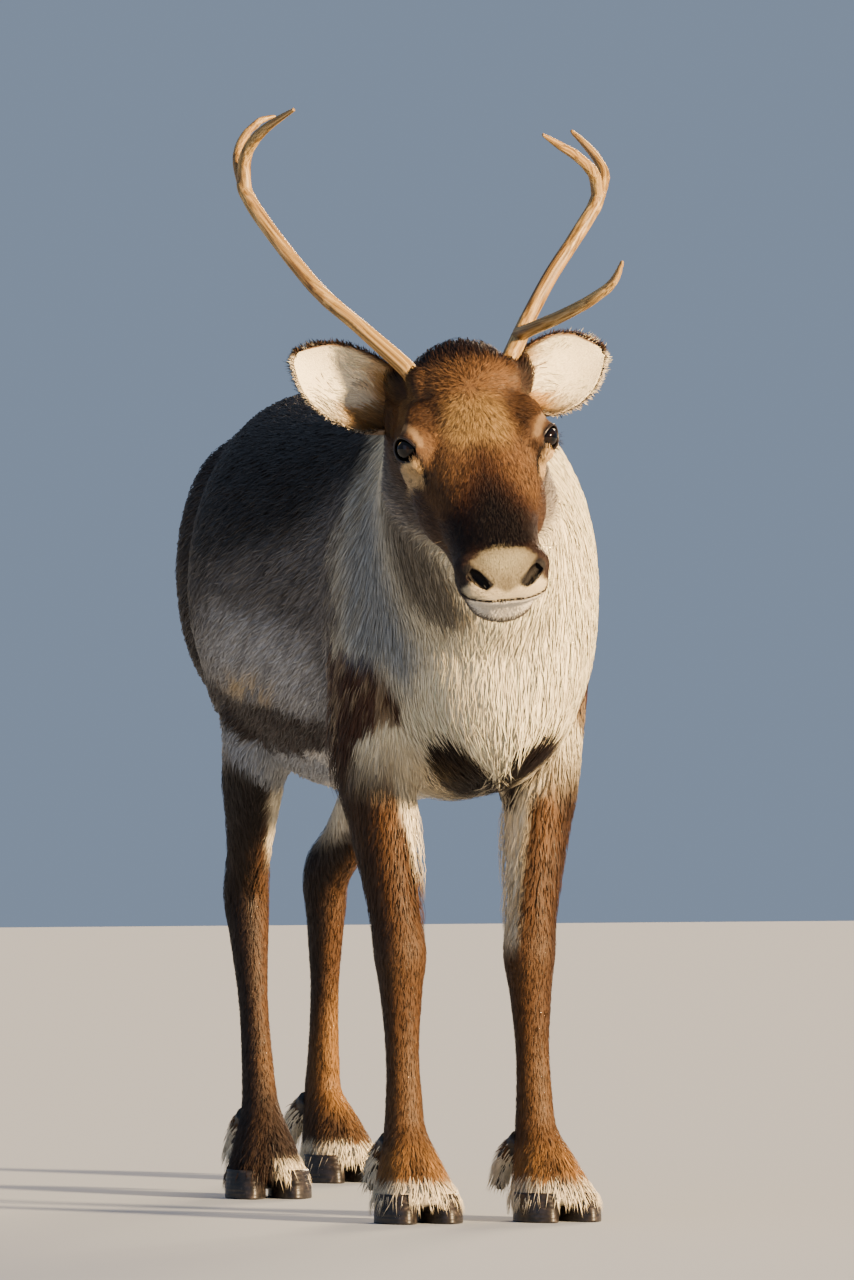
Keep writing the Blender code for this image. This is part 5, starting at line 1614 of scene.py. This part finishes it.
@functools.lru_cache(maxsize=None)
def winter_hair():
    """Hollow winter hair of a deer, in flat tufts. Matt, with a soft shine where it catches the light."""
    made, tree, shader = new_finish("winter_deer_hair", 0.50, Specular_IOR_Level=0.20)
    colour = node(tree, "ShaderNodeAttribute", {"attribute_name": "coat"})
    fall = node(tree, "ShaderNodeAttribute", {"attribute_name": "fall"})
    strand = node(tree, "ShaderNodeAttribute", {"attribute_name": "strand"})
    # Single hairs are 0.2 mm thick. Drawn 0.5 mm, so that they show.
    fine = node(tree, "ShaderNodeTexNoise", inputs={"Vector": strand.outputs["Vector"], "Scale": 2000.0, "Detail": 1.0})
    tone = node(tree, "ShaderNodeMapRange", inputs={"Value": fine.outputs["Fac"], "From Min": 0.25, "From Max": 0.75,
                                                    "To Min": 0.74, "To Max": 1.22})
    mixed = node(tree, "ShaderNodeVectorMath", {"operation": "SCALE"},
                 {0: colour.outputs["Color"], "Scale": tone.outputs["Result"]})
    tree.links.new(mixed.outputs[0], shader.inputs["Base Color"])
    tree.links.new(bump(tree, fine.outputs["Fac"], 0.0003, 0.4, fall.outputs["Vector"]), shader.inputs["Normal"])
    return made


@functools.lru_cache(maxsize=None)
def hide_under_fur():
    """Short dense hair next to the skin, lying one way, which shows between the tufts."""
    made, tree, shader = new_finish("short_dense_hair", 0.60, Specular_IOR_Level=0.25)
    colour = node(tree, "ShaderNodeAttribute", {"attribute_name": "coat"})
    grain = node(tree, "ShaderNodeAttribute", {"attribute_name": "grain"})
    # Hairs about 1 mm apart, drawn eight times as long as wide
    fine = node(tree, "ShaderNodeTexNoise", inputs={"Vector": grain.outputs["Vector"], "Scale": 900.0, "Detail": 3.0})
    tone = node(tree, "ShaderNodeMapRange", inputs={"Value": fine.outputs["Fac"], "From Min": 0.25, "From Max": 0.75,
                                                    "To Min": 0.72, "To Max": 1.15})
    mixed = node(tree, "ShaderNodeVectorMath", {"operation": "SCALE"},
                 {0: colour.outputs["Color"], "Scale": tone.outputs["Result"]})
    tree.links.new(mixed.outputs[0], shader.inputs["Base Color"])
    tree.links.new(bump(tree, fine.outputs["Fac"], 0.0010, 0.7), shader.inputs["Normal"])
    return made


def bare_antler():
    """Hard antler, rubbed clean. Tan with fine dark lengthwise grain and a dull polish on the ridges."""
    made, tree, shader = new_finish("bare_antler_bone", 0.48)
    grain = node(tree, "ShaderNodeAttribute", {"attribute_name": "grain"})
    streak = node(tree, "ShaderNodeTexNoise", inputs={"Vector": grain.outputs["Vector"], "Scale": 420.0, "Detail": 3.0,
                                                      "Roughness": 0.5})
    broad = node(tree, "ShaderNodeTexNoise", inputs={"Vector": grain.outputs["Vector"], "Scale": 90.0, "Detail": 1.0})
    tan = ramp(tree, streak.outputs["Fac"], (0.30, 0x5A4220), (0.44, 0x91733C), (0.58, 0xBC9A5E), (0.76, 0xD8BC86))
    shade = ramp(tree, broad.outputs["Fac"], (0.30, 0xB09470), (0.60, 0xFFFFFF))
    mixed = node(tree, "ShaderNodeMix", {"data_type": "RGBA", "blend_type": "MULTIPLY"}, {0: 0.6, 6: tan, 7: shade})
    tree.links.new(mixed.outputs[2], shader.inputs["Base Color"])
    tree.links.new(bump(tree, streak.outputs["Fac"], 0.0004, 0.6), shader.inputs["Normal"])
    return made


def hoof_horn():
    """Worn black hoof horn. Growth rings, scuffed grey in patches."""
    made, tree, shader = new_finish("black_hoof_horn", 0.42)
    where = node(tree, "ShaderNodeTexCoord")
    parts = node(tree, "ShaderNodeSeparateXYZ", inputs={"Vector": where.outputs["Object"]})
    rings = node(tree, "ShaderNodeMath", {"operation": "MULTIPLY"}, {0: parts.outputs[2], 1: 1400.0})
    wave = node(tree, "ShaderNodeMath", {"operation": "SINE"}, {0: rings.outputs[0]})
    noise = node(tree, "ShaderNodeTexNoise", inputs={"Vector": where.outputs["Object"], "Scale": 160.0, "Detail": 4.0})
    dark = ramp(tree, noise.outputs["Fac"], (0.35, 0x0E0C0B), (0.62, 0x2B2522), (0.80, 0x5A5048))
    tree.links.new(dark, shader.inputs["Base Color"])
    first = bump(tree, wave.outputs[0], 0.0002, 0.5)
    tree.links.new(bump(tree, noise.outputs["Fac"], 0.0006, 0.5, first), shader.inputs["Normal"])
    return made


@functools.lru_cache(maxsize=None)
def wet_eye():
    """A deer's eye under its wet cornea. Black-brown, with a long level pupil and a dim iris."""
    made, tree, shader = new_finish("wet_cornea_over_dark_iris", 0.05, IOR=1.38)
    gaze = node(tree, "ShaderNodeAttribute", {"attribute_name": "gaze"})
    flat = node(tree, "ShaderNodeVectorMath", {"operation": "MULTIPLY"}, {0: gaze.outputs["Vector"], 1: (1.0, 1.7, 0.0)})
    far = node(tree, "ShaderNodeVectorMath", {"operation": "LENGTH"}, {0: flat.outputs[0]})
    colour = ramp(tree, far.outputs["Value"], (0.36, 0x030202), (0.46, 0x150C07), (0.80, 0x0E0805), (0.95, 0x060403))
    tree.links.new(colour, shader.inputs["Base Color"])
    return made


@functools.lru_cache(maxsize=None)
def lid_skin():
    """Bare moist skin on the rim of the lids. Near black, softly shining."""
    made, tree, shader = new_finish("moist_dark_lid_skin", 0.35)
    where = node(tree, "ShaderNodeTexCoord")
    noise = node(tree, "ShaderNodeTexNoise", inputs={"Vector": where.outputs["Object"], "Scale": 900.0, "Detail": 3.0})
    tree.links.new(ramp(tree, noise.outputs["Fac"], (0.3, 0x0E0A08), (0.7, 0x2A1D17)), shader.inputs["Base Color"])
    tree.links.new(bump(tree, noise.outputs["Fac"], 0.0002, 0.6), shader.inputs["Normal"])
    return made


@functools.lru_cache(maxsize=None)
def pink_corner():
    """The wet pink tissue in the front corner of the eye."""
    made, tree, shader = new_finish("wet_pink_membrane", 0.22)
    where = node(tree, "ShaderNodeTexCoord")
    noise = node(tree, "ShaderNodeTexNoise", inputs={"Vector": where.outputs["Object"], "Scale": 700.0, "Detail": 2.0})
    tree.links.new(ramp(tree, noise.outputs["Fac"], (0.3, 0x7A4A42), (0.7, 0xB07A6E)), shader.inputs["Base Color"])
    return made


def bristle_hair(name, root_code, tip_code):
    """Stiff single hairs of the lashes and whiskers. Smooth horn with a slight shine."""
    made, tree, shader = new_finish(name, 0.40)
    where = node(tree, "ShaderNodeTexCoord")
    noise = node(tree, "ShaderNodeTexNoise", inputs={"Vector": where.outputs["Object"], "Scale": 200.0, "Detail": 1.0})
    tree.links.new(ramp(tree, noise.outputs["Fac"], (0.3, root_code), (0.7, tip_code)), shader.inputs["Base Color"])
    return made


def make_bristles():
    """Lashes along the upper lids, and whiskers on muzzle and chin."""
    lash = bristle_hair("dark_lash_hair", 0x14100D, 0x2A2019)
    whisker = bristle_hair("whisker_hair", 0x2A211B, 0x8A7B68)
    for side_name, side in SIDES:
        look, along, over = eye_axes(side)
        curve = lid_curve(side, EYE_RADIUS + 0.0040, 1.06, 96)[4:46]
        out = unit(look * 0.75 + over * 0.65)
        made = bristles(f"lashes_{side_name}", to_world(strip(curve, out, 0.0012)), 1.1e6, 0.0058, 0.00018, 5 + side, lash)
        finished(made, lash, "face_coat")
    points, out, quads, _ = ground()
    local = head_space(points)
    x, s, z = local.T
    patch = head_share(points) > 0.9
    patch &= (s > 0.205) & (z < -0.038) & (np.abs(x) > 0.010) & (mouth_gap(local) > 0.003)
    chosen = quads[patch[quads].all(axis=1)]
    used, renumbered = np.unique(chosen, return_inverse=True)
    base = (points[used] - out[used] * 0.001, [tuple(row) for row in renumbered.reshape(-1, 4)])
    made = bristles("whiskers", base, 9.0e3, 0.030, 0.00020, 11, whisker)
    finished(made, whisker, "face_coat")


# Stage


def make_stage(tints):
    mesh = bpy.data.meshes.new("floor")
    reach = 9.0
    mesh.from_pydata([(-reach, -reach, 0), (reach, -reach, 0), (reach, reach, 0), (-reach, reach, 0)], [], [(0, 1, 2, 3)])
    floor = bpy.data.objects.new("floor", mesh)
    bpy.context.scene.collection.objects.link(floor)
    made, tree, shader = new_finish("pale_matt_paper", 0.9)
    where = node(tree, "ShaderNodeTexCoord")
    noise = node(tree, "ShaderNodeTexNoise", inputs={"Vector": where.outputs["Object"], "Scale": 3.0, "Detail": 2.0})
    shader.inputs["Base Color"].default_value = (*tints.floor, 1.0)
    tree.links.new(bump(tree, noise.outputs["Fac"], 0.0005, 0.3), shader.inputs["Normal"])
    floor.data.materials.append(made)
    world = bpy.data.worlds.new("studio")
    world.use_nodes = True
    world.node_tree.nodes["Background"].inputs["Color"].default_value = (0.56, 0.72, 1.0, 1.0)
    world.node_tree.nodes["Background"].inputs["Strength"].default_value = 0.38
    bpy.context.scene.world = world
    target = Vector((0.0, -0.3, 0.6))
    # A low warm sun from the front left, a soft one from behind and a weak cool fill
    for name, kind, place_, soft, power, code in (
        ("key", "SUN", (3.25, -3.85, 1.75), 0.12, 19.0, 0xFFD9A4),
        ("back", "SUN", (2.2, 3.2, 2.2), 0.30, 3.4, 0xFFDDB0),
        ("fill", "AREA", (-3.6, -2.6, 1.6), 2.80, 20.0, 0xA8CAFF),
    ):
        lamp = bpy.data.lights.new(name, kind)
        lamp.energy = power
        setattr(lamp, "angle" if kind == "SUN" else "size", soft)
        lamp.color = linear(code)
        stand = bpy.data.objects.new(name, lamp)
        stand.location = place_
        stand.rotation_euler = (target - Vector(place_)).to_track_quat("-Z", "Y").to_euler()
        bpy.context.scene.collection.objects.link(stand)
    make_camera()


def make_camera():
    """The photo's view: level, far off, 14 degrees to the animal's right."""
    wide, high, sensor = 854, 1280, 36.0
    camera = bpy.data.cameras.new("photo_view")
    camera.sensor_width = sensor
    camera.lens = VIEW_FOCAL * sensor / high
    camera.shift_x = (wide / 2 - VIEW_MIDDLE[0]) / high
    camera.shift_y = -(high / 2 - VIEW_MIDDLE[1]) / high
    camera.clip_end = 100.0
    stand = bpy.data.objects.new("photo_view", camera)
    far = (VIEW_AWAY * math.sin(VIEW_TURN), -VIEW_AWAY * math.cos(VIEW_TURN), VIEW_EYE_HEIGHT)
    stand.location = Vector(far) + SHIFT
    stand.rotation_euler = (math.radians(90.0), 0.0, VIEW_TURN)
    bpy.context.scene.collection.objects.link(stand)
    bpy.context.scene.camera = stand


# Sidebar


class CoatSizes(bpy.types.PropertyGroup):
    cover: FloatProperty(name="Cover", description="How many tufts lie over one another", default=2.3, min=0.2)
    seed: IntProperty(name="Seed", description="Seed for the places of the tufts", default=7)


class CoatColours(bpy.types.PropertyGroup):
    back: FloatVectorProperty(name="Back", description="Dark hair of back and upper flank", subtype="COLOR",
                              default=linear(0x1E1713))
    flank: FloatVectorProperty(name="Flank", description="Grey hair of the lower flank", subtype="COLOR",
                               default=linear(0xB2B1B0))
    pale: FloatVectorProperty(name="Neck", description="Creamy white hair of neck and breast", subtype="COLOR",
                              default=linear(0xFDEFCB))
    leg: FloatVectorProperty(name="Legs", description="Brown hair of the legs", subtype="COLOR",
                             default=linear(0x4A3016))
    brow: FloatVectorProperty(name="Forehead", description="Golden brown hair of the forehead", subtype="COLOR",
                              default=linear(0x6A4C2F))
    floor: FloatVectorProperty(name="Floor", description="Pale paper under the model", subtype="COLOR",
                               default=linear(0xABB4C0))


class REINDEER_OT_skin(bpy.types.Operator):
    """Melts the flesh into one skin, cuts eyes, nostrils and mouth, and paints the markings with some light and shade
    """
    bl_idname = "reindeer.skin"
    bl_label = "Skin"

    def execute(self, context):
        make_skin(context.scene.coat_colours)
        return {"FINISHED"}


class REINDEER_OT_coat(bpy.types.Operator):
    """Sets the tufts of the coat on the skin"""
    bl_idname = "reindeer.coat"
    bl_label = "Coat"

    def execute(self, context):
        make_coat(context.scene.coat_sizes, context.scene.coat_colours)
        make_dewclaw_fringes(context.scene.coat_sizes)
        return {"FINISHED"}


class REINDEER_OT_ears(bpy.types.Operator):
    """Makes both ears with their hair"""
    bl_idname = "reindeer.ears"
    bl_label = "Ears"

    def execute(self, context):
        draw = np.random.default_rng(context.scene.coat_sizes.seed + 1)
        for side_name, side in SIDES:
            make_ear(side_name, side, context.scene.coat_colours, draw)
        return {"FINISHED"}


class REINDEER_OT_eyes(bpy.types.Operator):
    """Makes the eyeballs, the rims of the lids and the pink corners"""
    bl_idname = "reindeer.eyes"
    bl_label = "Eyes"

    def execute(self, context):
        for side_name, side in SIDES:
            make_eye(side_name, side)
        return {"FINISHED"}


class REINDEER_OT_bristles(bpy.types.Operator):
    """Sets the lashes and the whiskers"""
    bl_idname = "reindeer.bristles"
    bl_label = "Lashes and whiskers"

    def execute(self, context):
        make_bristles()
        return {"FINISHED"}


class REINDEER_OT_antlers(bpy.types.Operator):
    """Makes both antlers"""
    bl_idname = "reindeer.antlers"
    bl_label = "Antlers"

    def execute(self, context):
        finish = bare_antler()
        for side_name, _ in SIDES:
            make_antler(side_name, finish)
        return {"FINISHED"}


class REINDEER_OT_hooves(bpy.types.Operator):
    """Makes the hooves and dewclaws of all four feet"""
    bl_idname = "reindeer.hooves"
    bl_label = "Hooves"

    def execute(self, context):
        finish = hoof_horn()
        for name in JOINTS:
            make_hooves(name, finish)
        return {"FINISHED"}


class REINDEER_OT_stage(bpy.types.Operator):
    """Sets up the floor, the lights and the camera"""
    bl_idname = "reindeer.stage"
    bl_label = "Stage"

    def execute(self, context):
        make_stage(context.scene.coat_colours)
        return {"FINISHED"}


STEPS = (REINDEER_OT_skin, REINDEER_OT_coat, REINDEER_OT_ears, REINDEER_OT_eyes, REINDEER_OT_bristles,
         REINDEER_OT_antlers, REINDEER_OT_hooves, REINDEER_OT_stage)


class REINDEER_PT_panel(bpy.types.Panel):
    """Sizes, colours and the steps that make the animal"""
    bl_idname = "REINDEER_PT_panel"
    bl_label = "Reindeer"
    bl_space_type = "VIEW_3D"
    bl_region_type = "UI"
    bl_category = "Reindeer"

    def draw(self, context):
        for group in (context.scene.coat_sizes, context.scene.coat_colours):
            for name in group.__annotations__:
                self.layout.prop(group, name)
        for each in STEPS:
            self.layout.operator(each.bl_idname)


CLASSES = (CoatSizes, CoatColours, *STEPS, REINDEER_PT_panel)


def register():
    for each in CLASSES:
        bpy.utils.register_class(each)
    bpy.types.Scene.coat_sizes = PointerProperty(type=CoatSizes)
    bpy.types.Scene.coat_colours = PointerProperty(type=CoatColours)


def unregister():
    del bpy.types.Scene.coat_colours
    del bpy.types.Scene.coat_sizes
    for each in reversed(CLASSES):
        bpy.utils.unregister_class(each)


def main():
    register()
    for each in STEPS:
        begun = time.time()
        getattr(bpy.ops.reindeer, each.bl_idname.split(".")[1])()
        print(each.bl_label, round(time.time() - begun, 1), "s")


if __name__ == "__main__":
    main()
